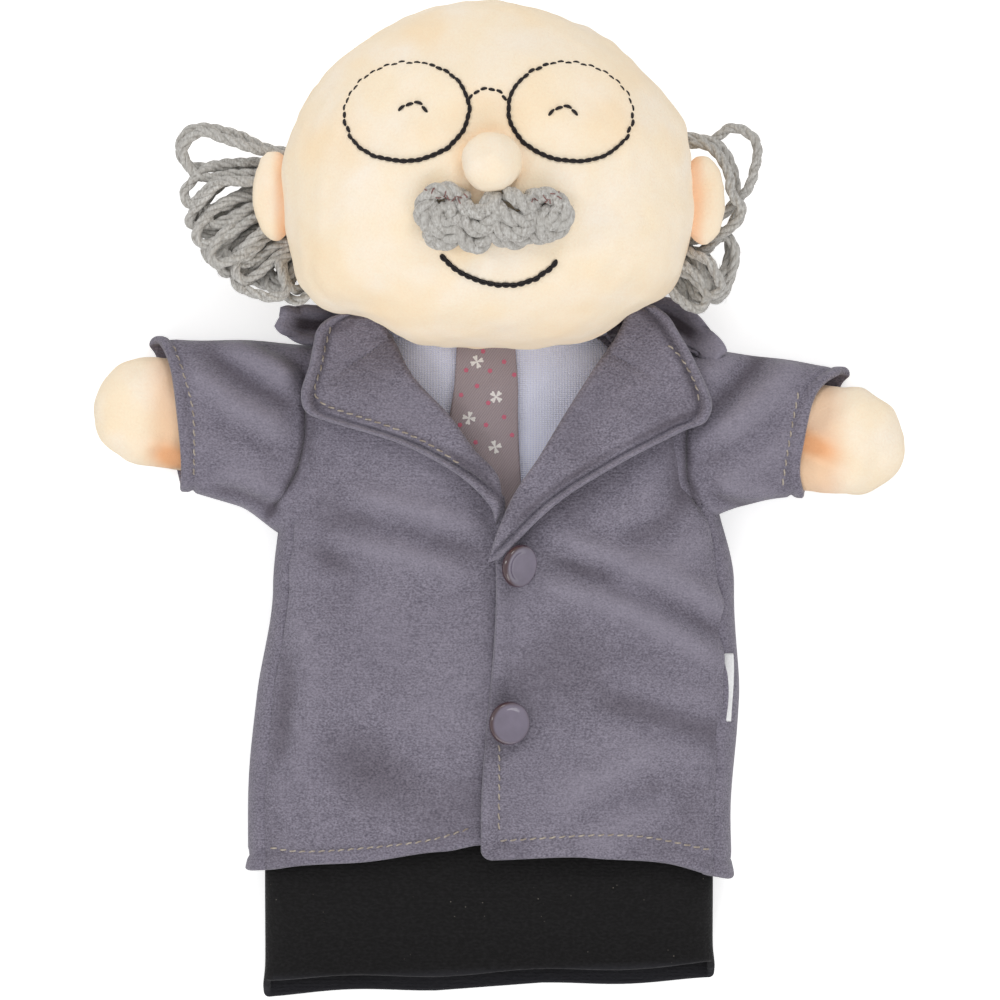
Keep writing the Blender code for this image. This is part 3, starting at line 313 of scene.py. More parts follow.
@dataclass
class Cloth:
    """A piece of cloth: a grid of places through its middle, with a thickness and soft borders."""

    grid: Array
    thickness: float
    wrapped: bool = False
    rounded: tuple[bool, bool, bool, bool] = (True, True, True, True)
    inside: Array | None = None
    lift: Array | float = 0.0
    puff: Array | float = 0.0
    floor: float = 0.0

    def spread(self) -> tuple[float, float, float]:
        """Its width, length and area, laid flat.

        Returns:
            The longest row, the longest column and the area.
        """
        grid = np.concatenate([self.grid, self.grid[:, :1]], axis=1) if self.wrapped else self.grid
        rows = np.linalg.norm(np.diff(grid, axis=1), axis=2).sum(axis=1)
        columns = np.linalg.norm(np.diff(grid, axis=0), axis=2).sum(axis=0)
        sides = np.cross(np.diff(grid, axis=0)[:, :-1], np.diff(grid, axis=1)[:-1])
        area = float(np.linalg.norm(sides, axis=2).sum())
        width, length = float(rows.max()), float(columns.max())
        return width, max(length, area / width), area

    def build(self, name: str, material: Material) -> Object:
        """Make the piece.

        Args:
            name: The piece's name.
            material: The finish.

        Returns:
            The new object.
        """
        normal = grid_normals(self.grid, self.wrapped, self.inside)
        middle = self.grid + normal * np.asarray(self.lift)[..., None]
        normal = grid_normals(middle, self.wrapped, self.inside)
        rim = self.thickness / 2
        distance = border_distance(middle, self.rounded, self.wrapped)
        half = rim * np.sqrt(np.maximum(1.0 - (1.0 - np.minimum(distance / rim, 1.0)) ** 2, 0.0))
        outer = middle + normal * (half + np.asarray(self.puff) * np.minimum(half / rim, 1.0))[..., None]
        inner = middle - normal * half[..., None]
        outer[..., 2] = np.maximum(outer[..., 2], self.floor)
        inner[..., 2] = np.maximum(inner[..., 2], self.floor)
        count = middle.shape[0] * middle.shape[1]
        first = np.arange(count).reshape(middle.shape[:2])
        second = first + count
        self.share_borders(first, second)
        front = grid_faces(first, self.wrapped)
        back = grid_faces(second, self.wrapped)[:, ::-1]
        faces = [front, back, *self.open_borders(first, second)]
        points = np.concatenate([outer.reshape(-1, 3), inner.reshape(-1, 3)])
        return mesh_piece(name, points, np.concatenate(faces), material, mend=True)

    def share_borders(self, first: Array, second: Array) -> None:
        """Let both faces of the cloth share the points of the rounded borders.

        Args:
            first: Point numbers of the outer face.
            second: Point numbers of the inner face, which are changed.
        """
        if self.rounded[0]:
            second[0] = first[0]
        if self.rounded[1]:
            second[-1] = first[-1]
        if not self.wrapped and self.rounded[2]:
            second[:, 0] = first[:, 0]
        if not self.wrapped and self.rounded[3]:
            second[:, -1] = first[:, -1]

    def open_borders(self, first: Array, second: Array) -> list[Array]:
        """Faces that close the borders that aren't rounded.

        Args:
            first: Point numbers of the outer face.
            second: Point numbers of the inner face.

        Returns:
            A list of rows of faces.
        """
        lines = []
        if not self.rounded[0]:
            lines.append((first[0], second[0], self.wrapped))
        if not self.rounded[1]:
            lines.append((second[-1], first[-1], self.wrapped))
        if not self.wrapped and not self.rounded[2]:
            lines.append((second[:, 0], first[:, 0], False))
        if not self.wrapped and not self.rounded[3]:
            lines.append((first[:, -1], second[:, -1], False))
        return [grid_faces(np.stack([low, high]), wrapped) for low, high, wrapped in lines]


class Strands:
    """Gathers round strands into one piece."""

    def __init__(self, sides: int = 6) -> None:
        """Start with no strand.

        Args:
            sides: Number of sides of each strand.
        """
        self.sides = sides
        self.points: list[Array] = []
        self.faces: list[Array] = []
        self.count = 0

    def add(self, path: Array, radius: Array | float, sides: int = 0) -> None:
        """Add one strand with round ends.

        Args:
            path: Places along the strand.
            radius: Its radius, one number or one for each place.
            sides: Its number of sides; 0 takes the usual one.
        """
        sides = sides or self.sides
        tangent, side, up = frames_along(path)
        radii = np.broadcast_to(np.asarray(radius, float), (len(path),)).copy()
        turns = np.linspace(0.0, 2 * math.pi, sides, endpoint=False)
        ends = np.concatenate(
            [path[:1] - tangent[:1] * radii[0] * 0.6, path, path[-1:] + tangent[-1:] * radii[-1] * 0.6]
        )
        side = np.concatenate([side[:1], side, side[-1:]])
        up = np.concatenate([up[:1], up, up[-1:]])
        radii = np.concatenate([radii[:1] * 0.35, radii, radii[-1:] * 0.35])
        ring = side[:, None] * np.cos(turns)[None, :, None] + up[:, None] * np.sin(turns)[None, :, None]
        points = ends[:, None] + ring * radii[:, None, None]
        index = np.arange(points.shape[0] * sides).reshape(points.shape[0], sides) + self.count
        faces = [grid_faces(index, True)]
        for row, turned in ((index[0], True), (index[-1], False)):
            fan = np.stack([np.full(sides - 2, row[0]), row[1:-1], row[2:], row[2:]], axis=1)
            faces.append(fan[:, [0, 2, 1, 1]] if turned else fan)
        self.points.append(points.reshape(-1, 3))
        self.faces.append(np.concatenate(faces))
        self.count += points.shape[0] * sides

    def add_fuzz(self, path: Array, radius: float, spacing: float, seed: int) -> None:
        """Add short loose fibres that stand out from a yarn.

        Args:
            path: Places along the yarn.
            radius: The yarn's radius.
            spacing: Rough distance between fibres.
            seed: Number that picks them.
        """
        chance = np.random.default_rng(seed)
        tangent, side, up = frames_along(path)
        length = float(np.linalg.norm(np.diff(path, axis=0), axis=1).sum())
        for _ in range(int(length / spacing)):
            k = int(chance.integers(1, len(path) - 1))
            turn = chance.uniform(0.0, 2 * math.pi)
            away = side[k] * math.cos(turn) + up[k] * math.sin(turn)
            lean = tangent[k] * chance.uniform(-1.0, 1.0)
            reach = chance.uniform(0.0006, 0.0018)
            steps = np.array([0.0, 0.5, 1.0])[:, None]
            fibre = path[k] + away * (
                radius * 0.85 + reach * steps * (1.4 - 0.6 * steps) * 0.6
            ) + lean * reach * steps**1.5
            self.add(fibre, 0.00004, 3)

    def add_plied(self, path: Array, radius: float, plies: int, pitch: float, start: float = 0.0) -> None:
        """Add a yarn of several twisted plies.

        Args:
            path: Places along the yarn.
            radius: Radius of the whole yarn.
            plies: Number of plies.
            pitch: Length of one full turn of the twist.
            start: Turn of the twist at the first place, in radians.
        """
        _, side, up = frames_along(path)
        lengths = np.concatenate([[0.0], np.cumsum(np.linalg.norm(np.diff(path, axis=0), axis=1))])
        ply = radius * (0.52 if plies > 3 else 0.56)
        reach = radius - ply * 0.92
        for k in range(plies):
            turn = start + 2 * math.pi * (lengths / pitch + k / plies)
            self.add(path + reach * (side * np.cos(turn)[:, None] + up * np.sin(turn)[:, None]), ply)

    def build(self, name: str, material: Material) -> Object:
        """Make the piece."""
        return mesh_piece(name, np.concatenate(self.points), np.concatenate(self.faces), material)


def frames_along(path: Array) -> tuple[Array, Array, Array]:
    """Directions along a path that don't twist.

    Args:
        path: Places along it.

    Returns:
        The way ahead, the side and the third direction at each place.
    """
    tangent = np.gradient(path, axis=0)
    tangent /= np.maximum(np.linalg.norm(tangent, axis=1, keepdims=True), 1e-12)
    start = np.array([0.0, 0.0, 1.0]) if abs(tangent[0][2]) < 0.9 else np.array([1.0, 0.0, 0.0])
    side = np.empty_like(tangent)
    last = start
    for i, ahead in enumerate(tangent):
        last = last - ahead * (last @ ahead)
        last = last / max(np.linalg.norm(last), 1e-12)
        side[i] = last
    return tangent, side, np.cross(tangent, side)


class Seat:
    """Finds the top of finished pieces under a place."""

    def __init__(self, *pieces: Object) -> None:
        """Read the pieces as they stand.

        Args:
            pieces: What carries the trim.
        """
        bpy.context.view_layer.update()
        graph = bpy.context.evaluated_depsgraph_get()
        self.trees = [BVHTree.FromObject(piece, graph) for piece in pieces]

    def drop(self, x: float, y: float) -> tuple[Vector, Vector]:
        """The highest place over a point of the floor.

        Args:
            x: Place across.
            y: Place along.

        Returns:
            The place and the direction away from the surface.
        """
        best, facing = Vector((x, y, 0.0)), Vector((0.0, 0.0, 1.0))
        for tree in self.trees:
            hit, normal, _, _ = tree.ray_cast(Vector((x, y, 0.3)), Vector((0.0, 0.0, -1.0)))
            if hit is not None and hit.z > best.z:
                best, facing = hit, normal
        return best, facing if facing.z > 0 else -facing

    def lay(self, places: Array, lift: Array | float = 0.0) -> Array:
        """Lay a line of places on the surface.

        Args:
            places: Two numbers each.
            lift: Height above the surface.

        Returns:
            Three numbers for each place.
        """
        hits = [self.drop(float(x), float(y)) for x, y in places]
        lifts = np.broadcast_to(np.asarray(lift, float), (len(hits),))
        return np.array([hit + facing * float(up) for (hit, facing), up in zip(hits, lifts)])


def in_metres(places: Places) -> Array:
    """Places given in millimetres, as an array in metres."""
    return np.array(places, float) * MM


def triangles(piece: Object) -> int:
    """Number of triangles of a piece."""
    return sum(len(face.vertices) - 2 for face in piece.data.polygons)


def enter(piece: Object, slot: str, *nodes: str) -> Object:
    """Let a piece ride on the body and stand for its nodes.

    Args:
        piece: The finished piece.
        slot: Name of the record's material slot; not used.
        nodes: Names of the nodes that it stands for.

    Returns:
        The same piece.
    """
    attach(piece, BODY)
    if nodes:
        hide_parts(*nodes)
    LOG.info("%s: %d triangles", piece.name, triangles(piece))
    return piece


def declare(piece: Object, cloth: Cloth, held: Held, *rests_on: str) -> None:
    """Work out a piece's cloth laid flat: its width, length and area, which are not kept."""
    width, length, area = cloth.spread()


def swell(piece: Object, voxel: float, pressure: float, cap: float, levels: int) -> None:
    """Let a stuffed piece find its shape by cloth simulation, and keep its size.

    Args:
        piece: A closed piece, which is changed.
        voxel: Size of the even mesh that is simulated.
        pressure: Pressure of the stuffing.
        cap: Furthest that a point may move.
        levels: Subdivisions afterwards.
    """
    material = piece.data.materials[0]
    remesh = piece.modifiers.new("even_mesh", "REMESH")
    remesh.mode = "VOXEL"
    remesh.voxel_size = voxel
    apply_modifiers(piece, material)
    before = points_of(piece)
    faces = [tuple(face.vertices) for face in piece.data.polygons]
    cloth = piece.modifiers.new("stuffing", "CLOTH")
    cloth.settings.use_pressure = True
    cloth.settings.uniform_pressure_force = pressure
    cloth.settings.effector_weights.gravity = 0.0
    cloth.settings.quality = 5
    cloth.collision_settings.use_collision = False
    scene = bpy.context.scene
    for number in range(1, 21):
        scene.frame_set(number)
    graph = bpy.context.evaluated_depsgraph_get()
    moved = piece.evaluated_get(graph)
    after = np.empty(len(before) * 3, np.float32)
    moved.data.vertices.foreach_get("co", after)
    after = after.reshape(-1, 3).astype(float)
    piece.modifiers.remove(cloth)
    scene.frame_set(1)
    normal = point_normals(before, faces)
    change = after - before
    change -= change.mean(axis=0)
    change -= normal * np.mean(np.sum(change * normal, axis=1))
    length = np.linalg.norm(change, axis=1, keepdims=True)
    change *= np.minimum(1.0, cap / np.maximum(length, 1e-9))
    piece.data.vertices.foreach_set("co", (before + change).astype(np.float32).ravel())
    piece.data.update()
    finer = piece.modifiers.new("finer", "SUBSURF")
    finer.levels = levels
    finer.render_levels = levels
    apply_modifiers(piece, material)
    piece.data.shade_smooth()


def apply_modifiers(piece: Object, material: Material) -> None:
    """Turn a piece's modifiers into its mesh.

    Args:
        piece: The piece, which is changed.
        material: The finish that it keeps.
    """
    bpy.context.view_layer.update()
    graph = bpy.context.evaluated_depsgraph_get()
    mesh = bpy.data.meshes.new_from_object(piece.evaluated_get(graph))
    piece.modifiers.clear()
    piece.data = mesh
    if not mesh.materials:
        mesh.materials.append(material)


def points_of(piece: Object) -> Array:
    """A piece's points, one row each.

    Args:
        piece: Any piece.

    Returns:
        Its points, one row each.
    """
    points = np.empty(len(piece.data.vertices) * 3, np.float32)
    piece.data.vertices.foreach_get("co", points)
    return points.reshape(-1, 3).astype(float)


def point_normals(points: Array, faces: list[tuple[int, ...]]) -> Array:
    """Directions away from a surface at its points.

    Args:
        points: One row each.
        faces: Point numbers of each face.

    Returns:
        A unit direction for each point.
    """
    corners = np.array([(face[0], face[1], face[2]) for face in faces])
    flat = np.cross(points[corners[:, 1]] - points[corners[:, 0]], points[corners[:, 2]] - points[corners[:, 0]])
    normal = np.zeros_like(points)
    for face, way in zip(faces, flat):
        normal[list(face)] += way
    return normal / np.maximum(np.linalg.norm(normal, axis=1, keepdims=True), 1e-12)


def mesh_normals(piece: Object) -> Array:
    """Blender's own normals at a piece's points.

    Args:
        piece: Any piece.

    Returns:
        The way out at each point.
    """
    normals = np.empty(len(piece.data.vertices) * 3, np.float32)
    piece.data.vertices.foreach_get("normal", normals)
    return normals.reshape(-1, 3).astype(float)


def displace(piece: Object, amount: Callable[[Array, Array], Array]) -> None:
    """Move a piece's points along their normals.

    Args:
        piece: The piece, which is changed.
        amount: Gives the distance for the points and their normals.
    """
    points, normals = points_of(piece), mesh_normals(piece)
    points = points + normals * amount(points, normals)[:, None]
    points[:, 2] = np.maximum(points[:, 2], 0.0)
    piece.data.vertices.foreach_set("co", points.astype(np.float32).ravel())
    piece.data.update()


def store(piece: Object, name: str, values: Array) -> None:
    """Keep a number for each point, which the finish reads."""
    layer = piece.data.attributes.new(name, "FLOAT", "POINT")
    layer.data.foreach_set("value", np.asarray(values, np.float32))


# Finishes


def as_light(colour: Colour) -> tuple[float, float, float, float]:
    """A colour as light, from how it shows."""
    linear = [c / 12.92 if c <= 0.04045 else ((c + 0.055) / 1.055) ** 2.4 for c in colour]
    return (*linear, 1.0)


class Bench:
    """Makes one material's nodes with short calls."""

    def __init__(self, name: str, roughness: float) -> None:
        """Start a material on its own shader.

        Args:
            name: The material's name.
            roughness: Its even roughness.
        """
        self.material = bpy.data.materials.new(name)
        self.material.use_nodes = True
        self.nodes = self.material.node_tree.nodes
        self.links = self.material.node_tree.links
        self.shader = self.nodes["Principled BSDF"]
        self.shader.inputs["Roughness"].default_value = roughness
        self.place = self.nodes.new("ShaderNodeTexCoord").outputs["Object"]

    def even(self, **values: float | tuple[float, ...]) -> None:
        """Set the shader's own sockets; an underscore stands for a space."""
        for name, value in values.items():
            self.shader.inputs[name.replace("_", " ")].default_value = value

    def mapped(self, scale: tuple[float, float, float], turn: float = 0.0) -> NodeSocket:
        """Coordinates that are stretched and turned about Z.

        Args:
            scale: Stretch along each axis.
            turn: Angle in radians.

        Returns:
            The coordinates.
        """
        node = self.nodes.new("ShaderNodeMapping")
        node.inputs["Scale"].default_value = scale
        node.inputs["Rotation"].default_value = (0.0, 0.0, turn)
        self.links.new(self.place, node.inputs["Vector"])
        return node.outputs["Vector"]

    def noise(
        self, scale: float, detail: float = 2.0, stretch: tuple[float, float, float] = (1.0, 1.0, 1.0),
        turn: float = 0.0
    ) -> NodeSocket:
        """Cloudy values between 0 and 1.

        Args:
            scale: Clouds to the metre.
            detail: Number of finer layers.
            stretch: Extra scale along each axis.
            turn: Turn about Z in radians.

        Returns:
            The value.
        """
        node = self.nodes.new("ShaderNodeTexNoise")
        node.inputs["Scale"].default_value = scale
        node.inputs["Detail"].default_value = detail
        self.links.new(self.mapped(stretch, turn), node.inputs["Vector"])
        return node.outputs["Fac"]

    def rows(self, pitch: float, axis: str, waver: float = 0.0, turn: float = 0.0) -> NodeSocket:
        """Even rows of stitches or ribs.

        Args:
            pitch: Distance from row to row.
            axis: The axis that the rows follow each other along.
            waver: How unevenly they run.
            turn: Turn about Z in radians.

        Returns:
            The value, from 0 between rows to 1 on them.
        """
        node = self.nodes.new("ShaderNodeTexWave")
        node.wave_type = "BANDS"
        node.bands_direction = axis
        node.inputs["Scale"].default_value = 2 * math.pi / (20 * pitch)
        node.inputs["Distortion"].default_value = waver
        node.inputs["Detail"].default_value = 1.0
        node.inputs["Detail Scale"].default_value = 1.5
        self.links.new(self.mapped((1.0, 1.0, 1.0), turn), node.inputs["Vector"])
        return node.outputs["Fac"]

    def cells(self, scale: float) -> NodeSocket:
        """Distance to scattered points, for specks.

        Args:
            scale: Cells in a metre.

        Returns:
            Distance to the nearest cell's middle.
        """
        node = self.nodes.new("ShaderNodeTexVoronoi")
        node.inputs["Scale"].default_value = scale
        self.links.new(self.place, node.inputs["Vector"])
        return node.outputs["Distance"]

    def stored(self, name: str) -> NodeSocket:
        """A number that is kept with the mesh.

        Args:
            name: The attribute's name.

        Returns:
            Its value.
        """
        node = self.nodes.new("ShaderNodeAttribute")
        node.attribute_name = name
        return node.outputs["Fac"]

    def spread(
        self, value: NodeSocket, low: float, high: float, to_low: float = 0.0, to_high: float = 1.0
    ) -> NodeSocket:
        """Stretch a value from one range to another and hold it there.

        Args:
            value: What is stretched.
            low: Start of its range.
            high: End of its range.
            to_low: New start.
            to_high: New end.

        Returns:
            The stretched value.
        """
        node = self.nodes.new("ShaderNodeMapRange")
        for name, number in (("From Min", low), ("From Max", high), ("To Min", to_low), ("To Max", to_high)):
            node.inputs[name].default_value = number
        self.links.new(value, node.inputs["Value"])
        return node.outputs["Result"]

    def work(self, operation: str, first: NodeSocket | float, second: NodeSocket | float) -> NodeSocket:
        """Join two numbers.

        Args:
            operation: Blender's name of the sum.
            first: Number or value.
            second: Number or value.

        Returns:
            The result.
        """
        node = self.nodes.new("ShaderNodeMath")
        node.operation = operation
        for slot, value in zip(node.inputs, (first, second)):
            if isinstance(value, (int, float)):
                slot.default_value = value
            else:
                self.links.new(value, slot)
        return node.outputs["Value"]

    def mix(self, first: NodeSocket | Colour, last: NodeSocket | Colour, share: NodeSocket) -> NodeSocket:
        """Pass from one colour to another.

        Args:
            first: Colour at 0.
            last: Colour at 1.
            share: Place between them.

        Returns:
            The colour.
        """
        node = self.nodes.new("ShaderNodeMix")
        node.data_type = "RGBA"
        for slot, value in ((node.inputs[6], first), (node.inputs[7], last)):
            if isinstance(value, tuple):
                slot.default_value = as_light(value)
            else:
                self.links.new(value, slot)
        self.links.new(share, node.inputs["Factor"])
        return node.outputs[2]

    def finish(self, colour: NodeSocket, height: NodeSocket | None = None, depth: float = 0.0002) -> Material:
        """Join the colour and the relief to the shader.

        Args:
            colour: The colour.
            height: Relief from 0 to 1, if any.
            depth: What the whole relief measures.

        Returns:
            The material.
        """
        self.links.new(colour, self.shader.inputs["Base Color"])
        if height is not None:
            node = self.nodes.new("ShaderNodeBump")
            node.inputs["Strength"].default_value = 1.0
            node.inputs["Distance"].default_value = depth
            self.links.new(height, node.inputs["Height"])
            self.links.new(node.outputs["Normal"], self.shader.inputs["Normal"])
        return self.material


@dataclass(frozen=True)
class PlushFinish:
    """Short flesh plush with a soft, uneven pile, and painted orange shade in its creases."""

    colour: Colour = (0.997, 0.930, 0.820)
    pale: Colour = (0.998, 0.952, 0.882)
    warm: Colour = (0.996, 0.898, 0.752)
    # Deeper orange for painted shade; a little of it also gives the pile a random tone.
    crease: Colour = (0.965, 0.715, 0.520)

    def make(self) -> Material:
        """Make the material.

        Returns:
            The material.
        """
        bench = Bench("skin_plush", 0.85)
        bench.even(
            Sheen_Weight=0.58, Sheen_Roughness=0.5, Sheen_Tint=as_light((0.998, 0.942, 0.855)), Specular_IOR_Level=0.2
        )
        cloud = bench.noise(70.0, 3.0)
        blush = bench.noise(42.0, 2.0)
        pile = bench.noise(1500.0, 2.0)
        colour = bench.mix(self.colour, self.pale, bench.spread(cloud, 0.40, 0.75))
        colour = bench.mix(colour, self.warm, bench.spread(blush, 0.50, 0.72, 0.0, 0.75))
        # Painted shade: the stored shade number mixes in the deeper orange where the plush would lie in shade.
        colour = bench.mix(colour, self.crease, bench.stored("shade"))
        # A little of the same orange, driven by the pile noise, as a random tone of the pile.
        colour = bench.mix(colour, self.crease, bench.spread(pile, 0.62, 0.25, 0.0, 0.10))
        relief = bench.work("ADD", bench.work("MULTIPLY", pile, 0.6), bench.work("MULTIPLY", cloud, 0.8))
        return bench.finish(colour, relief, 0.00025)


@dataclass(frozen=True)
class CoatFinish:
    """Heathered grey velour: a felted pile with faint rows under it."""

    colour: Colour = (0.474, 0.453, 0.508)
    dark: Colour = (0.318, 0.303, 0.348)
    light: Colour = (0.628, 0.606, 0.660)
    crease_shade: Colour = (0.290, 0.262, 0.292)
    row_pitch: float = 0.0011

    def make(self) -> Material:
        """Make the material.

        Returns:
            The material.
        """
        bench = Bench("coat_cloth", 0.9)
        bench.even(Sheen_Weight=0.30, Sheen_Roughness=0.4, Specular_IOR_Level=0.2)
        rows = bench.rows(self.row_pitch, "Y", 2.5)
        pile = bench.noise(1900.0, 3.0, (0.85, 1.15, 1.0))
        fine = bench.noise(4200.0, 1.0)
        brushed = bench.noise(260.0, 3.0, (0.8, 1.3, 1.0), 0.4)
        cloud = bench.noise(45.0, 2.0)
        colour = bench.mix(self.dark, self.light, bench.spread(pile, 0.31, 0.71))
        colour = bench.mix(colour, self.colour, bench.spread(cloud, 0.3, 0.7, 0.20, 0.42))
        colour = bench.mix(colour, self.light, bench.spread(brushed, 0.50, 0.78, 0.0, 0.20))
        colour = bench.mix(colour, self.dark, bench.spread(brushed, 0.48, 0.24, 0.0, 0.18))
        colour = bench.mix(colour, self.dark, bench.spread(rows, 0.40, 0.0, 0.0, 0.10))
        colour = bench.mix(colour, self.light, bench.spread(fine, 0.60, 0.80, 0.0, 0.45))
        # Painted shade in creases and a painted highlight on ridges, from the stored numbers.
        colour = bench.mix(colour, self.crease_shade, bench.stored("shade"))
        colour = bench.mix(colour, self.light, bench.stored("painted_highlight"))
        relief = bench.work("ADD", bench.work("MULTIPLY", rows, 0.15), bench.work("ADD", pile, brushed))
        return bench.finish(colour, relief, 0.00035)


@dataclass(frozen=True)
class JerseyFinish:
    """Bluish white jersey with fine upright ribs."""

    colour: Colour = (0.918, 0.930, 1.000)
    groove: Colour = (0.835, 0.850, 0.985)
    pitch: float = 0.0008

    def make(self) -> Material:
        """Make the material.

        Returns:
            The material.
        """
        bench = Bench("shirt_jersey", 0.8)
        bench.even(Sheen_Weight=0.45, Specular_IOR_Level=0.3, Sheen_Tint=as_light((0.780, 0.820, 1.000)))
        ribs = bench.rows(self.pitch, "X", 0.4)
        loops = bench.rows(self.pitch * 0.7, "Y", 0.6)
        colour = bench.mix(self.groove, self.colour, bench.spread(bench.work("ADD", ribs, loops), 0.0, 0.9))
        relief = bench.work("ADD", bench.work("MULTIPLY", ribs, 0.6), loops)
        return bench.finish(colour, relief, 0.00012)


@dataclass(frozen=True)
class VelourFinish:
    """Black velour with a little lint in its pile."""

    colour: Colour = (0.070, 0.066, 0.068)
    light: Colour = (0.118, 0.114, 0.118)
    painted_lip_light: Colour = (0.225, 0.225, 0.250)
    lint: Colour = (0.420, 0.400, 0.370)

    def make(self) -> Material:
        """Make the material.

        Returns:
            The material.
        """
        bench = Bench("trousers_velour", 0.85)
        bench.even(Sheen_Weight=0.06, Sheen_Roughness=0.4, Specular_IOR_Level=0.15)
        rows = bench.rows(0.0010, "Y", 1.2)
        pile = bench.noise(1100.0, 3.0, (0.8, 1.4, 1.0))
        lint = bench.cells(420.0)
        thin = bench.noise(130.0, 1.0)
        colour = bench.mix(self.colour, self.light, bench.spread(pile, 0.4, 0.75))
        # Painted light: the hem's lips are lightened where the stored shade number is set.
        colour = bench.mix(colour, self.painted_lip_light, bench.stored("shade"))
        specks = bench.work("MULTIPLY", bench.spread(lint, 0.09, 0.04), bench.spread(thin, 0.56, 0.66))
        colour = bench.mix(colour, self.lint, specks)
        return bench.finish(colour, bench.work("ADD", pile, bench.work("MULTIPLY", rows, 0.12)), 0.0003)


@dataclass(frozen=True)
class SatinFinish:
    """Grey satin with a fine slanting twill."""

    colour: Colour = (0.625, 0.572, 0.588)
    dark: Colour = (0.570, 0.514, 0.532)

    def make(self) -> Material:
        """Make the material.

        Returns:
            The material.
        """
        bench = Bench("tie_satin", 0.45)
        bench.even(Specular_IOR_Level=0.4, Sheen_Weight=0.1)
        twill = bench.rows(0.0006, "X", 0.2, math.radians(35.0))
        weave = bench.noise(1400.0, 1.0)
        colour = bench.mix(self.dark, self.colour, bench.spread(twill, 0.1, 0.8))
        colour = bench.mix(colour, self.dark, bench.spread(weave, 0.55, 0.8, 0.0, 0.35))
        return bench.finish(colour, twill, 0.00008)


@dataclass(frozen=True)
class YarnFinish:
    """Soft grey yarn, with darker, browner fibres mixed in at random."""

    colour: Colour = (0.735, 0.725, 0.705)
    light: Colour = (0.870, 0.865, 0.850)
    dark: Colour = (0.545, 0.517, 0.485)

    def make(self) -> Material:
        """Make the material.

        Returns:
            The material.
        """
        bench = Bench("grey_yarn", 0.9)
        bench.even(Sheen_Weight=0.3, Sheen_Roughness=0.5, Specular_IOR_Level=0.2)
        fibre = bench.noise(1700.0, 3.0, (1.0, 0.5, 1.0))
        cloud = bench.noise(160.0, 2.0)
        colour = bench.mix(self.dark, self.light, bench.spread(fibre, 0.32, 0.68))
        colour = bench.mix(colour, self.colour, bench.spread(cloud, 0.3, 0.7, 0.2, 0.7))
        return bench.finish(colour, fibre, 0.0003)


@dataclass(frozen=True)
class PlainFinish:
    """A plain finish with a fine uneven grain."""

    name: str
    colour: Colour
    dark: Colour
    roughness: float
    grain: float = 2500.0
    relief: float = 0.0001
    specular: float = 0.3
    coat: float = 0.0

    def make(self) -> Material:
        """Make the material.

        Returns:
            The material.
        """
        bench = Bench(self.name, self.roughness)
        bench.even(Specular_IOR_Level=self.specular, Coat_Weight=self.coat, Coat_Roughness=0.05)
        grain = bench.noise(self.grain, 2.0)
        colour = bench.mix(self.dark, self.colour, bench.spread(grain, 0.3, 0.7))
        return bench.finish(colour, grain, self.relief)


@dataclass(frozen=True)
class ButtonFinish:
    """Glossy mauve grey plastic, darker and redder towards the rim, partly its own tone and partly painted shade."""

    colour: Colour = (0.415, 0.382, 0.450)
    pale: Colour = (0.465, 0.428, 0.502)
    rim: Colour = (0.250, 0.140, 0.165)

    def make(self) -> Material:
        """Make the material.

        Returns:
            The material.
        """
        bench = Bench("button_plastic", 0.14)
        bench.even(Coat_Weight=0.60, Coat_Roughness=0.06, Specular_IOR_Level=0.45)
        swirl = bench.noise(160.0, 3.0)
        colour = bench.mix(self.colour, self.pale, bench.spread(swirl, 0.4, 0.7))
        # Partly the plastic's own darker rim, partly painted shade, from the stored shade number.
        colour = bench.mix(colour, self.rim, bench.stored("shade"))
        return bench.finish(colour)


def plain(*values: str | float | Colour) -> Material:
    """A field of the wardrobe that holds a plain finish."""
    return field(default_factory=lambda: PlainFinish(*values).make())


@dataclass
class Wardrobe:
    """All finishes, made once."""

    plush: Material = field(default_factory=lambda: PlushFinish().make())
    coat: Material = field(default_factory=lambda: CoatFinish().make())
    jersey: Material = field(default_factory=lambda: JerseyFinish().make())
    velour: Material = field(default_factory=lambda: VelourFinish().make())
    satin: Material = field(default_factory=lambda: SatinFinish().make())
    yarn: Material = field(default_factory=lambda: YarnFinish().make())
    button: Material = field(default_factory=lambda: ButtonFinish().make())
    black_thread: Material = plain("black_thread", (0.125, 0.095, 0.095), (0.070, 0.055, 0.055), 0.6)
    tan_thread: Material = plain("tan_thread", (0.760, 0.720, 0.665), (0.540, 0.490, 0.450), 0.6, 900.0)
    rose_thread: Material = plain("rose_thread", (0.640, 0.470, 0.450), (0.420, 0.300, 0.290), 0.6)
    white_print: Material = plain("white_print", (0.930, 0.915, 0.905), (0.860, 0.840, 0.835), 0.5)
    rose_print: Material = plain("rose_print", (0.800, 0.400, 0.500), (0.720, 0.380, 0.460), 0.5)
    label: Material = plain("label_satin", (0.955, 0.955, 0.955), (0.900, 0.900, 0.905), 0.45)
    lining: Material = plain("finger_lining", (0.900, 0.870, 0.820), (0.830, 0.800, 0.750), 0.85)


@cache
def finishes() -> Wardrobe:
    """All the finishes, made at the first call."""
    return Wardrobe()


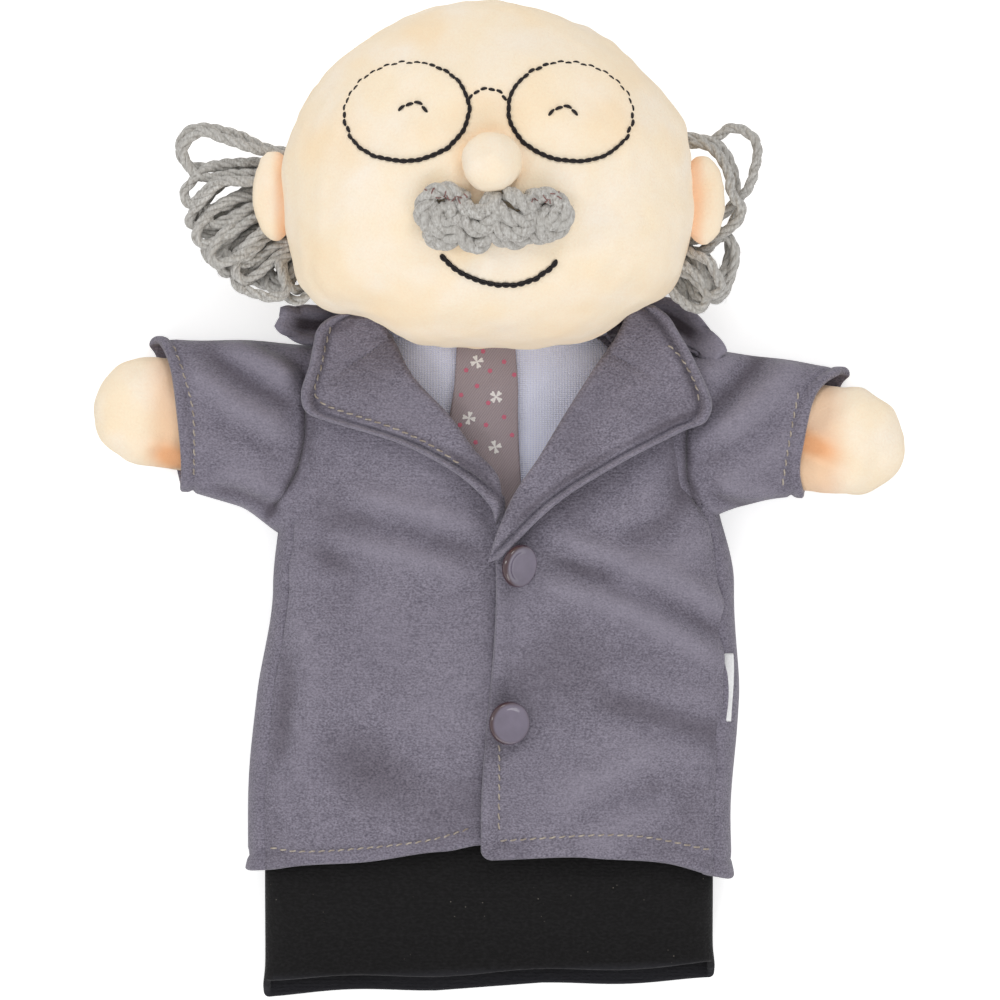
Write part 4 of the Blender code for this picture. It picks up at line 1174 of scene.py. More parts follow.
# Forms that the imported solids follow


@dataclass(frozen=True)
class GloveForm:
    """The glove body as it lies, with a domed front and a flat back."""

    body_x: float = -0.0028
    waist_sway: float = 0.0042
    chest_sway: float = 0.0012
    shoulder_y: float = 0.0458
    hip_half: float = 0.0625
    waist_half: float = 0.0590
    chest_half: float = 0.0550
    shoulder_half: float = 0.0295
    neck_half: float = 0.0215
    hip_below: float = 0.1010
    waist_below: float = 0.0700
    chest_below: float = 0.0380
    chest_top_below: float = 0.0170
    neck_above: float = 0.0130
    front_rise: float = 0.0140
    back_drop: float = 0.0060
    front_roundness: float = 2.5
    back_roundness: float = 5.0
    base_height: float = 0.0032
    coat_length: float = 0.1415
    hem_drop: float = 0.0070
    sink_length: float = 0.0220

    def section(self, angle: Array, half: Array, rise: Array, drop: Array) -> tuple[Array, Array]:
        """A point of a section with a domed front and a flat back.

        Args:
            angle: Turn round the section.
            half: Half its width.
            rise: Height of the front above the sides.
            drop: Depth of the back below them.

        Returns:
            The place across, and the height above the sides.
        """
        across, up = np.cos(angle), np.sin(angle)
        front = up >= 0.0
        x = half * np.where(front, power(across, 2.0 / self.front_roundness), power(across, 2.0 / self.back_roundness))
        z = np.where(front, rise * power(up, 2.0 / self.front_roundness), drop * power(up, 2.0 / self.back_roundness))
        return x, z

    def half_width(self, y: Array) -> Array:
        """Half the glove's width at a level.

        Args:
            y: Place along the glove.

        Returns:
            Half the width there.
        """
        top = self.shoulder_y
        stations = (
            (top - self.hip_below, self.hip_half),
            (top - self.waist_below, self.waist_half),
            (top - self.chest_below, self.chest_half),
            (top - self.chest_top_below, self.chest_half),
            (top, self.shoulder_half),
            (top + self.neck_above, self.neck_half),
        )
        return through(stations, y)

    def middle(self, y: Array) -> Array:
        """Where the glove's middle lies at a level.

        Args:
            y: Place along the glove.

        Returns:
            The middle across it there.
        """
        top = self.shoulder_y
        stations = (
            (top - self.hip_below - self.waist_below / 2, self.body_x),
            (top - self.waist_below, self.body_x + self.waist_sway),
            (top - self.chest_top_below, self.body_x + self.chest_sway),
            (top, self.body_x),
        )
        return through(stations, y)

    def base(self, y: Array) -> Array:
        """Height of the glove's back at a level."""
        sink_top = self.shoulder_y - self.coat_length - 1.3 * self.hem_drop
        return self.base_height * ramp((y - sink_top + self.sink_length) / self.sink_length)

    def point(self, angle: Array, y: Array, offset: Array | float, ease: float = 0.0, least: float = 0.0) -> Array:
        """Points offset out from the glove body.

        Args:
            angle: Turn round the section.
            y: Level.
            offset: Distance out from the glove.
            ease: More of it at the sides.
            least: Least height above the floor.

        Returns:
            The places.
        """
        half = self.half_width(y) + ease + offset
        x, z = self.section(angle, half, self.front_rise + offset, self.back_drop + offset)
        z = np.maximum(self.base(y) + self.back_drop + z, least)
        return np.stack(np.broadcast_arrays(self.middle(y) + x, y, z), axis=-1)

    def front_angle(self, x: Array, y: Array, offset: Array | float, ease: float = 0.0) -> Array:
        """The angle at which the front passes over a place."""
        share = x / (self.half_width(y) + ease + offset)
        return np.arccos(power(np.clip(share, -1.0, 1.0), self.front_roundness / 2.0))

    def front_height(self, x: Array, y: Array, offset: Array | float, ease: float = 0.0) -> Array:
        """Height of the front over a place from the middle."""
        return self.point(self.front_angle(x, y, offset, ease), y, offset, ease)[..., 2]


@dataclass(frozen=True)
class Fold:
    """A soft crease across cloth, seen from above, in millimetres."""

    line: Places
    depth: float
    width: float
    ridge: float = 0.72

    def height(self, x: Array, y: Array) -> Array:
        """How far the cloth moves out at a place.

        Args:
            x: Places across, in metres.
            y: Places along, in metres.

        Returns:
            The distance, below 0 in the crease.
        """
        distance, share = line_distance(x, y, smooth_path(in_metres(self.line), 2 * MM))
        wide = self.width * MM
        fade = ramp(share / 0.25) * ramp((1.0 - share) / 0.25)
        groove = np.exp(-((distance / wide) ** 2))
        ridge = np.exp(-(((distance - 1.8 * wide) / wide) ** 2))
        return self.depth * MM * fade * (self.ridge * ridge - 0.34 * groove)


def fold_relief(folds: Sequence[Fold], grid: Array) -> Array:
    """Add up creases over a grid of places.

    Args:
        folds: The creases.
        grid: Places.

    Returns:
        How far each place moves out.
    """
    total = np.zeros(grid.shape[:-1])
    for fold in folds:
        total += fold.height(grid[..., 0], grid[..., 1])
    return total


def tint(piece: Object, relief: Array) -> None:
    """Paint shade into cloth's creases and a highlight onto its ridges."""
    store(piece, "shade", np.clip(-relief / MM * 0.42, 0.0, 0.58))
    store(piece, "painted_highlight", np.clip(relief / MM * 0.15, 0.0, 0.36))


@dataclass(frozen=True)
class Topstitch:
    """Even stitches along a line of places in millimetres."""

    line: Places
    length: float = 0.0020
    gap: float = 0.0007
    radius: float = 0.00024

    def sew(self, strands: Strands, seat: Seat) -> None:
        """Lay the stitches on what carries them.

        Args:
            strands: Where the stitches are gathered.
            seat: What carries them.
        """
        path = smooth_path(in_metres(self.line), 0.0003)
        lengths = np.concatenate([[0.0], np.cumsum(np.linalg.norm(np.diff(path, axis=0), axis=1))])
        start = 0.0
        while start + self.length < lengths[-1]:
            places = np.linspace(start, start + self.length, 6)
            flat = np.stack([np.interp(places, lengths, path[:, k]) for k in range(2)], axis=1)
            rise = self.radius * np.array([-1.6, 0.2, 0.9, 0.9, 0.2, -1.6])
            way = (flat[-1] - flat[0]) / np.linalg.norm(flat[-1] - flat[0])
            flat = flat + np.array([-way[1], way[0]]) * np.linspace(-self.radius, self.radius, 6)[:, None] * 0.8
            laid = seat.lay(flat, rise)
            if laid[:, 2].min() > 0.004:
                strands.add(laid, self.radius)
            start += self.length + self.gap


# Sub-assemblies


@dataclass
class Studio:
    """White ground, soft lamps and the camera straight above."""

    camera_x: float = 0.00028
    camera_height: float = 2.5
    lens: float = 321.4
    sky: float = 0.65
    ground: float = 3.0
    lamps: tuple[tuple[str, tuple[float, float, float], float, float], ...] = (
        ("lamp_high", (0.5, 1.6, 1.5), 9.0, 0.7),
        ("lamp_left", (-1.8, 0.5, 1.3), 7.6, 0.5),
        ("lamp_low", (-0.2, -2.0, 1.2), 10.5, 1.2),
        ("lamp_right", (1.25, -1.5, 1.3), 6.8, 1.0),
    )

    def build(self) -> None:
        """Make the ground, the lamps, the sky and the camera."""
        half = self.ground / 2
        corners = np.array(
            [[-half, -half, -0.0003], [half, -half, -0.0003], [half, half, -0.0003], [-half, half, -0.0003]]
        )
        mesh_piece("ground", corners, np.array([[0, 1, 2, 3]]), self.ground_finish())
        self.make_sky()
        for name, place, watts, size in self.lamps:
            self.add_lamp(name, place, watts, size)
        camera = bpy.data.cameras.new("camera")
        camera.sensor_width = 36.0
        camera.lens = self.lens
        camera.clip_start = 0.1
        camera.clip_end = 50.0
        holder = bpy.data.objects.new("camera", camera)
        holder.location = (self.camera_x, 0.0, self.camera_height)
        bpy.context.scene.collection.objects.link(holder)
        bpy.context.scene.camera = holder
        bpy.context.scene.view_settings.view_transform = "Standard"

    def ground_finish(self) -> Material:
        """A ground that shows white and still keeps a shadow.

        Returns:
            The material.
        """
        bench = Bench("ground", 1.0)
        bench.even(Specular_IOR_Level=0.0)
        path = bench.nodes.new("ShaderNodeLightPath")
        seen = bench.work("MAXIMUM", path.outputs["Is Camera Ray"], path.outputs["Is Glossy Ray"])
        colour = bench.mix((0.86, 0.86, 0.86), (0.93, 0.93, 0.93), seen)
        bench.even(Emission_Color=(1.0, 1.0, 1.0, 1.0))
        bench.links.new(bench.work("MULTIPLY", seen, 0.55), bench.shader.inputs["Emission Strength"])
        return bench.finish(colour)

    def make_sky(self) -> None:
        """Even light from all round, seen as white."""
        world = bpy.data.worlds.new("sky")
        bpy.context.scene.world = world
        world.use_nodes = True
        nodes, links = world.node_tree.nodes, world.node_tree.links
        back = nodes["Background"]
        back.inputs["Color"].default_value = (1.0, 1.0, 1.0, 1.0)
        path = nodes.new("ShaderNodeLightPath")
        seen = nodes.new("ShaderNodeMath")
        seen.operation = "MAXIMUM"
        links.new(path.outputs["Is Camera Ray"], seen.inputs[0])
        links.new(path.outputs["Is Transmission Ray"], seen.inputs[1])
        both = nodes.new("ShaderNodeMath")
        both.operation = "MAXIMUM"
        links.new(seen.outputs[0], both.inputs[0])
        links.new(path.outputs["Is Glossy Ray"], both.inputs[1])
        level = nodes.new("ShaderNodeMapRange")
        level.inputs["To Min"].default_value = self.sky
        level.inputs["To Max"].default_value = 1.0
        links.new(both.outputs[0], level.inputs["Value"])
        links.new(level.outputs["Result"], back.inputs["Strength"])

    def add_lamp(self, name: str, place: tuple[float, float, float], watts: float, size: float) -> None:
        """Add a square soft lamp that faces the puppet.

        Args:
            name: The lamp's name.
            place: Where it stands.
            watts: Its power.
            size: Length of its side.
        """
        light = bpy.data.lights.new(name, "AREA")
        light.energy = watts
        light.size = size
        lamp = bpy.data.objects.new(name, light)
        lamp.location = place
        lamp.rotation_euler = (-Vector(place)).to_track_quat("-Z", "Y").to_euler()
        bpy.context.scene.collection.objects.link(lamp)


@dataclass
class Head:
    """The stuffed plush head with its nose and ears."""

    glove: GloveForm
    width: float = 0.1136
    height: float = 0.0968
    depth: float = 0.0700
    roundness: float = 2.4
    crown: float = 1.87
    cheek: float = 3.1
    middle_y: float = 0.0901
    middle_z: float = 0.0347
    rings: int = 150
    around: int = 260
    nose_radius: float = 0.0084
    nose_place: tuple[float, float] = (0.0008, 0.0018)
    nose_sink: float = 0.0020
    ear_half_height: float = 0.0128
    ear_reach: float = 0.0086
    ear_root: float = 0.0040
    ear_half_depth: float = 0.0042
    left_ear_up: float = -0.0060
    right_ear_up: float = -0.0074
    tube_half_width: float = 0.0120
    tube_half_height: float = 0.0080
    tube_length: float = 0.0520

    @property
    def middle(self) -> Array:
        """The head's middle."""
        return np.array([self.glove.body_x, self.middle_y, self.middle_z])

    def outline_level(self, across: Array, up: Array) -> Array:
        """How far out a place is on the face: 0 at the middle and 1 on the outline."""
        roundness = np.where(up < 0.0, self.cheek, self.crown)
        return (np.abs(across) ** roundness + np.abs(up) ** roundness) ** (1.0 / roundness)

    def face_height(self, x: Array, y: Array) -> Array:
        """Height of the plain face at places from the head's middle.

        Args:
            x: Place across.
            y: Place up.

        Returns:
            The height there.
        """
        level = self.outline_level(x / (self.width / 2), y / (self.height / 2))
        rest = np.maximum(1.0 - level**self.roundness, 0.0)
        return self.middle_z + self.depth / 2 * rest ** (1.0 / self.roundness)

    def build(self) -> Object:
        """Make the head, the nose, the ears and the finger pocket.

        Returns:
            The head.
        """
        head = self.build_skull()
        self.build_nose()
        self.build_ear("ear_left", -1, self.left_ear_up)
        self.build_ear("ear_right", 1, self.right_ear_up)
        self.build_pocket()
        return head

    def build_skull(self) -> Object:
        """Make the stuffed head with its seam and the hollows under the stitches.

        Returns:
            The head.
        """
        latitude = np.linspace(-math.pi / 2, math.pi / 2, self.rings)[:, None]
        turn = np.linspace(0.0, 2 * math.pi, self.around, endpoint=False)[None, :]
        spread = power(np.cos(latitude), 2.0 / self.roundness) / self.outline_level(np.cos(turn), np.sin(turn))
        rise = power(np.sin(latitude), 2.0 / self.roundness)
        offset = np.stack(
            np.broadcast_arrays(
                self.width / 2 * spread * np.cos(turn),
                self.height / 2 * spread * np.sin(turn),
                self.depth / 2 * rise + 0.0 * turn,
            ),
            axis=-1,
        )
        grid = self.middle + offset
        index = np.arange(self.rings * self.around).reshape(self.rings, self.around)
        head = mesh_piece("head_plush", grid.reshape(-1, 3), grid_faces(index, True), finishes().plush, mend=True)
        swell(head, 0.0045, 4.0, 0.0025, 2)
        displace(head, self.relief)
        self.open_neck(head)
        # Painted shade: oranger under the chin and along the side seam.
        points = points_of(head)
        chin = ramp((self.glove.shoulder_y + 0.009 - points[:, 1]) / 0.012) * 0.06
        side = np.exp(-(((points[:, 2] - self.middle_z) / 0.0024) ** 2)) * 0.12
        store(head, "shade", np.clip(chin + side, 0.0, 1.0))
        return enter(head, "skin_plush", "head_face", "head_back", "head_filling")

    def relief(self, points: Array, normals: Array) -> Array:
        """How far the plush stands out at each point.

        Args:
            points: Places on the plush.
            normals: The way out at each.

        Returns:
            The distance at each point.
        """
        local = points - self.middle
        amount = 0.00045 * ripple(points, 0.020, 3) + 0.00012 * ripple(points, 0.006, 4)
        turn = np.arctan2(local[:, 1] / self.height, local[:, 0] / self.width)
        belt = np.exp(-((local[:, 2] / 0.024) ** 2))
        low = np.exp(-(((local[:, 2] + 0.004) / 0.030) ** 2))
        amount -= low * 0.0046 * np.exp(-(((turn + 2.15) / 0.17) ** 2))
        amount -= low * 0.0036 * np.exp(-(((turn + 0.86) / 0.16) ** 2))
        amount -= belt * 0.0012 * np.exp(-(((turn - 1.0) / 0.45) ** 2))
        seam = np.exp(-((local[:, 2] / 0.0013) ** 2))
        pucker = np.sin(turn * 33.0 + 2.0 * np.sin(turn * 7.0))
        near = np.exp(-((local[:, 2] / 0.0050) ** 2))
        amount -= 0.0010 * seam + 0.00018 * near * pucker
        nose = np.hypot(local[:, 0] - self.nose_place[0], local[:, 1] - self.nose_place[1])
        amount -= np.where(local[:, 2] > 0, 0.0011 * np.exp(-(((nose - 0.0080) / 0.0022) ** 2)), 0.0)
        return amount

    def open_neck(self, head: Object) -> None:
        """Take out the plush where the finger goes in.

        Args:
            head: The head.
        """
        bm = bmesh.new()
        bm.from_mesh(head.data)
        centre = self.glove.base_height + (self.glove.front_rise + self.glove.back_drop) / 2
        gone = []
        for face in bm.faces:
            place = face.calc_center_median()
            across = (place.x - self.glove.body_x) / self.tube_half_width
            up = (place.z - centre) / self.tube_half_height
            if place.y < self.middle_y and across * across + up * up < 1.0:
                gone.append(face)
        bmesh.ops.delete(bm, geom=gone, context="FACES")
        bm.to_mesh(head.data)
        bm.free()

    def ball(
        self, name: str, middle: Array, radii: tuple[float, float, float], material: Material, rings: int = 48
    ) -> Object:
        """A round stuffed form with its poles front and back.

        Args:
            name: The piece's name.
            middle: Its middle.
            radii: Half its size along each axis.
            material: The finish.
            rings: Number of rings.

        Returns:
            The new object.
        """
        latitude = np.linspace(-math.pi / 2, math.pi / 2, rings)[:, None]
        turn = np.linspace(0.0, 2 * math.pi, 2 * rings, endpoint=False)[None, :]
        spread = np.cos(latitude)
        parts = (
            radii[0] * spread * np.cos(turn), radii[1] * spread * np.sin(turn),
            radii[2] * np.sin(latitude) + 0.0 * turn
        )
        grid = middle + np.stack(np.broadcast_arrays(*parts), axis=-1)
        index = np.arange(rings * 2 * rings).reshape(rings, 2 * rings)
        return mesh_piece(name, grid.reshape(-1, 3), grid_faces(index, True), material, mend=True)

    def build_nose(self) -> None:
        """Make the plush ball of the nose."""
        x, y = self.nose_place
        z = float(self.face_height(np.array(x), np.array(y))) + self.nose_sink
        middle = np.array([self.glove.body_x + x, self.middle_y + y, z])
        radius = self.nose_radius
        nose = self.ball("nose_plush", middle, (radius, radius, radius * 0.92), finishes().plush)
        swell(nose, 0.0018, 3.0, 0.0008, 1)
        displace(nose, lambda points, normals: 0.00022 * ripple(points, 0.007, 8) + 0.00008 * ripple(points, 0.003, 9))
        points = points_of(nose)
        # Painted shade: the nose's lower side, towards the face, is oranger.
        store(nose, "shade", ramp((z + 0.001 - points[:, 2]) / 0.006) * 0.35)
        enter(nose, "skin_plush", "nose")

    def build_ear(self, name: str, side: int, up: float) -> None:
        """Make a padded ear in the side seam.

        Args:
            name: The node's name.
            side: -1 on the viewer's left, 1 on the right.
            up: Its height from the head's middle.
        """
        reach = (self.ear_reach + self.ear_root) / 2
        x = self.glove.body_x + side * (self.width / 2 + self.ear_reach - reach)
        middle = np.array([x, self.middle_y + up, self.middle_z])
        ear = self.ball(
            f"{name}_plush", middle, (reach * 1.03, self.ear_half_height, self.ear_half_depth), finishes().plush
        )
        swell(ear, 0.0016, 2.5, 0.0008, 1)

        def dent(points: Array, normals: Array) -> Array:
            """A shallow hollow in the front and an uneven stuffing.

            Args:
                points: Places on the plush.
                normals: The way out at each.

            Returns:
                The distance at each point.
            """
            across = (points[:, 0] - middle[0] + side * 0.001) / (reach * 0.55)
            along = (points[:, 1] - middle[1] - 0.001) / (self.ear_half_height * 0.55)
            hollow = np.exp(-(across**2 + along**2)) * (points[:, 2] > middle[2])
            return 0.0002 * ripple(points, 0.008, 11 + side) - (0.0022 if side > 0 else 0.0009) * hollow

        displace(ear, dent)
        # Painted shade: oranger at the ear's root and in its front hollow.
        points = points_of(ear)
        root = ramp(1.0 - side * (points[:, 0] - (self.glove.body_x + side * (self.width / 2 + 0.0002))) / 0.0035)
        hollow = np.exp(
            -(((points[:, 0] - middle[0]) / (reach * 0.6)) ** 2 + ((points[:, 1] - middle[1]) / 0.008) ** 2)
        )
        store(ear, "shade", np.clip(0.55 * root + (0.16 if side > 0 else 0.06) * hollow, 0.0, 1.0))
        enter(ear, "skin_plush", name)

    def build_pocket(self) -> None:
        """Make the lined pocket for the finger."""
        start = self.glove.shoulder_y - 0.0030
        centre = self.glove.base_height + (self.glove.front_rise + self.glove.back_drop) / 2
        share = np.concatenate([np.linspace(0.0, 0.7, 16), np.linspace(0.72, 1.0, 12)])[:, None]
        turn = np.linspace(0.0, 2 * math.pi, 64, endpoint=False)[None, :]
        spread = np.sqrt(np.maximum(1.0 - (np.maximum(share - 0.7, 0.0) / 0.301) ** 2, 0.0))
        x = self.glove.body_x + (self.tube_half_width - 0.0004) * spread * np.cos(turn)
        z = centre + (self.tube_half_height - 0.0004) * spread * np.sin(turn)
        grid = np.stack(np.broadcast_arrays(x, start + self.tube_length * share + 0.0 * turn, z), axis=-1)
        middle = np.array([self.glove.body_x, start + self.tube_length / 2, centre])
        cloth = Cloth(grid, 0.0008, wrapped=True, rounded=(True, False, True, True), inside=middle)
        cloth.lift = 0.0002 * ripple(grid, 0.010, 21)
        pocket = cloth.build("finger_pocket", finishes().lining)
        declare(pocket, cloth, Held.STRETCHED, "head_filling")
        enter(pocket, "finger_lining", "finger_tube")


@dataclass
class StitchedFace:
    """Spectacles, eyes and mouth in black chain stitch."""

    head: Head
    rim_half_width: float = 0.0171
    rim_half_height: float = 0.0136
    rim_spread: float = 0.0448
    rim_up: float = 0.0158
    rim_lean: float = math.radians(6.0)
    link: float = 0.0021
    thread: float = 0.00034
    left_eye: Places = ((-24.6, 16.0), (-22.8, 17.5), (-20.6, 18.2), (-18.3, 17.6), (-16.4, 15.6))
    right_eye: Places = ((16.4, 14.6), (18.2, 16.5), (20.6, 17.2), (22.7, 16.5), (24.5, 14.8))
    bridge: Places = ((-5.5, 18.8), (-3.6, 20.9), (-0.4, 21.9), (3.0, 21.0), (5.2, 18.7))
    mouth: Places = (
        (-12.9, -23.3), (-9.9, -26.4), (-6.3, -28.7), (-1.7, -30.5), (3.2, -31.3), (8.2, -31.2), (12.1, -29.9),
        (15.4, -27.9), (17.4, -26.1), (18.4, -24.6),
    )

    def build(self, carrier: Object) -> None:
        """Sew the face onto the head.

        Args:
            carrier: The head.
        """
        seat = Seat(carrier)
        for name, side in (("rim_left", -1), ("rim_right", 1)):
            turns = np.linspace(0.0, 2 * math.pi, 90, endpoint=False)
            weight = 0.66 + 0.34 * np.cos(turns - (math.radians(-60.0) if side < 0 else math.radians(-120.0)))
            self.sew(name, self.rim(side, turns), weight, seat, closed=True)
        self.sew("bridge", in_metres(self.bridge), np.full(5, 0.45), seat)
        self.sew("eye_left", in_metres(self.left_eye), np.full(5, 0.52), seat)
        self.sew("eye_right", in_metres(self.right_eye), np.full(5, 0.52), seat)
        self.sew("mouth", in_metres(self.mouth), np.full(len(self.mouth), 1.15), seat)

    def rim(self, side: int, turns: Array) -> Array:
        """Places round a rim, from the head's middle.

        Args:
            side: -1 on the viewer's left, 1 on the right.
            turns: Angles round it.

        Returns:
            Two numbers for each angle.
        """
        across, up = self.rim_half_width * np.cos(turns), self.rim_half_height * np.sin(turns)
        lean = -side * self.rim_lean
        x = side * self.rim_spread / 2 + across * math.cos(lean) - up * math.sin(lean)
        y = self.rim_up + across * math.sin(lean) + up * math.cos(lean)
        return np.stack([x, y], axis=1)

    def sew(self, name: str, places: Array, weight: Array, seat: Seat, closed: bool = False) -> None:
        """Sew one line of chain stitch.

        Args:
            name: The node's name.
            places: The line, from the head's middle.
            weight: How heavy the stitch is, one for each place.
            seat: The head.
            closed: Whether the line returns to its start.
        """
        whole = np.concatenate([places, weight[:, None] * MM], axis=1)
        path = smooth_path(whole, 0.0002, closed)
        middle = self.head.middle
        lengths = np.concatenate([[0.0], np.cumsum(np.linalg.norm(np.diff(path[:, :2], axis=0), axis=1))])
        count = max(int(lengths[-1] / self.link), 3)
        chance = np.random.default_rng(len(name) * 7 + count)
        strands = Strands(6)
        ways = np.gradient(path[:, :2], axis=0)
        ways /= np.linalg.norm(ways, axis=1, keepdims=True)
        for k in range(count):
            near = float(np.interp((k + 0.5) / count * lengths[-1], lengths, path[:, 2])) / MM
            ends = np.array([k - 0.14, k + 1.02] if near > 0.62 else [k + 0.0, k + 0.90]) / count * lengths[-1]
            stations = np.linspace(ends[0], ends[1], 7)
            flat = np.stack([np.interp(stations, lengths, path[:, j]) for j in range(2)], axis=1) + middle[:2]
            heavy = float(np.interp(stations[3], lengths, path[:, 2])) / MM
            way = np.stack([np.interp(stations, lengths, ways[:, j]) for j in range(2)], axis=1)
            cross = np.stack([-way[:, 1], way[:, 0]], axis=1)
            bow = np.sin(np.linspace(0.0, math.pi, 7)) ** 0.7
            jitter = chance.normal(0.0, 0.00008) + (0.00016 * (-1) ** k if near <= 0.62 else 0.0)
            rise = self.thread * (
                np.array([-1.0, 0.4, 0.9, 1.0, 0.9, 0.5, -0.4]) * (0.5 + 0.5 * heavy) - 0.5 * (heavy < 0.5)
            )
            for side in (-1.0, 1.0):
                if heavy < 0.45 and side > 0:
                    continue
                width = side * self.thread * (0.95 * min(heavy, 1.2)) * bow + jitter
                thick = self.thread * (0.72 + 0.42 * heavy) * (0.75 + 0.25 * bow)
                strands.add(seat.lay(flat + cross * width[:, None], rise), thick)
        enter(strands.build(f"{name}_stitch", finishes().black_thread), "black_thread", name)


@dataclass
class Moustache:
    """Thick soft yarn in loops under the nose, tacked at both ends. Places are in millimetres from the head's middle."""

    head: Head
    radius: float = 0.0024
    pitch: float = 0.0120
    low: Places = (
        (-16.5, -16.8), (-14.9, -18.9), (-11.9, -20.0), (-9.3, -18.8), (-7.6, -17.0), (-5.7, -19.6), (-3.0, -20.6),
        (-1.0, -18.8), (-0.1, -16.9), (2.2, -18.0), (4.9, -19.0), (8.2, -19.0), (10.2, -17.6), (12.5, -18.2),
        (14.8, -17.6),
    )
    left_loop: Places = (
        (-7.6, -7.4), (-10.9, -5.6), (-14.6, -6.0), (-17.2, -8.6), (-18.0, -12.0), (-16.4, -15.0), (-13.6, -16.4),
        (-10.3, -16.2), (-8.0, -14.2), (-7.6, -10.9), (-9.0, -9.0),
    )
    left_core: Places = ((-14.2, -9.9), (-14.6, -12.2), (-12.6, -13.7), (-10.4, -13.2), (-10.0, -10.9), (-11.6, -9.4))
    middle_rows: tuple[Places, ...] = (
        ((-6.6, -7.6), (-5.6, -10.2), (-3.4, -11.6), (-0.8, -11.0), (0.3, -8.6)),
        ((-6.6, -13.0), (-4.4, -15.2), (-1.4, -15.6), (1.0, -13.8), (1.7, -10.6), (0.9, -8.0)),
        ((1.7, -8.2), (3.0, -10.9), (6.2, -13.0), (9.6, -13.6), (10.6, -11.2)),
        ((1.8, -13.9), (4.7, -16.2), (8.4, -16.2), (10.6, -14.0)),
        ((5.0, -7.6), (7.6, -9.4), (10.8, -10.2), (11.6, -7.8)),
    )
    right_loop: Places = (
        (10.9, -7.8), (14.6, -7.0), (18.3, -8.2), (20.3, -11.0), (20.2, -14.2), (17.8, -16.5), (14.6, -17.0),
        (12.1, -15.2), (12.0, -12.2), (13.6, -10.2),
    )
    right_core: Places = ((15.0, -10.4), (14.4, -13.0), (16.2, -14.4), (18.0, -13.1), (17.4, -10.9))
    left_tacks: Places = ((-16.6, -5.3), (-14.2, -7.0), (-11.9, -7.0), (-9.3, -7.9), (-6.3, -7.4))
    right_tacks: Places = ((12.5, -8.6), (14.8, -8.3), (17.1, -7.6), (19.7, -7.0))

    def build(self, carrier: Object) -> None:
        """Lay the loops on the face and tack them.

        Args:
            carrier: The head.
        """
        seat = Seat(carrier)
        strands = Strands(8)
        rows = [(self.low, 0.4), (self.left_loop, 1.0), (self.left_core, 1.5)]
        rows += [(line, 1.2 + 0.25 * k) for k, line in enumerate(self.middle_rows)]
        rows += [(self.right_loop, 1.0), (self.right_core, 1.5)]
        for number, (line, layer) in enumerate(rows):
            flat = smooth_path(in_metres(line) + self.head.middle[:2], 0.0006)
            share = np.linspace(0.0, 1.0, len(flat))
            lift = self.radius * (0.55 + 0.55 * layer) * (0.45 + 0.55 * np.sin(math.pi * share) ** 0.5)
            laid = seat.lay(flat, lift)
            strands.add_plied(laid, self.radius, 3, self.pitch, number * 1.3)
            strands.add_fuzz(laid, self.radius, 0.0011, 300 + number)
        moustache = strands.build("moustache_yarn", finishes().yarn)
        enter(moustache, "grey_yarn", "moustache")
        self.tack(moustache)

    def tack(self, carrier: Object) -> None:
        """Sew rose tacks across the upper ends.

        Args:
            carrier: The moustache.
        """
        seat = Seat(carrier)
        strands = Strands(5)
        chance = np.random.default_rng(5)
        for line in (self.left_tacks, self.right_tacks):
            path = smooth_path(in_metres(line) + self.head.middle[:2], 0.0011)
            for x, y in path:
                way = chance.uniform(0.0, math.pi)
                reach = 0.0009
                ends = np.linspace(-reach, reach, 4)[:, None] * np.array([[math.cos(way), math.sin(way)]])
                spot = ends + np.array([x, y]) + chance.normal(0.0, 0.0006, 2)
                strands.add(seat.lay(spot, np.array([-0.0002, 0.0003, 0.0003, -0.0002])), 0.00017)
        enter(strands.build("moustache_tacks", finishes().rose_thread), "grey_yarn")


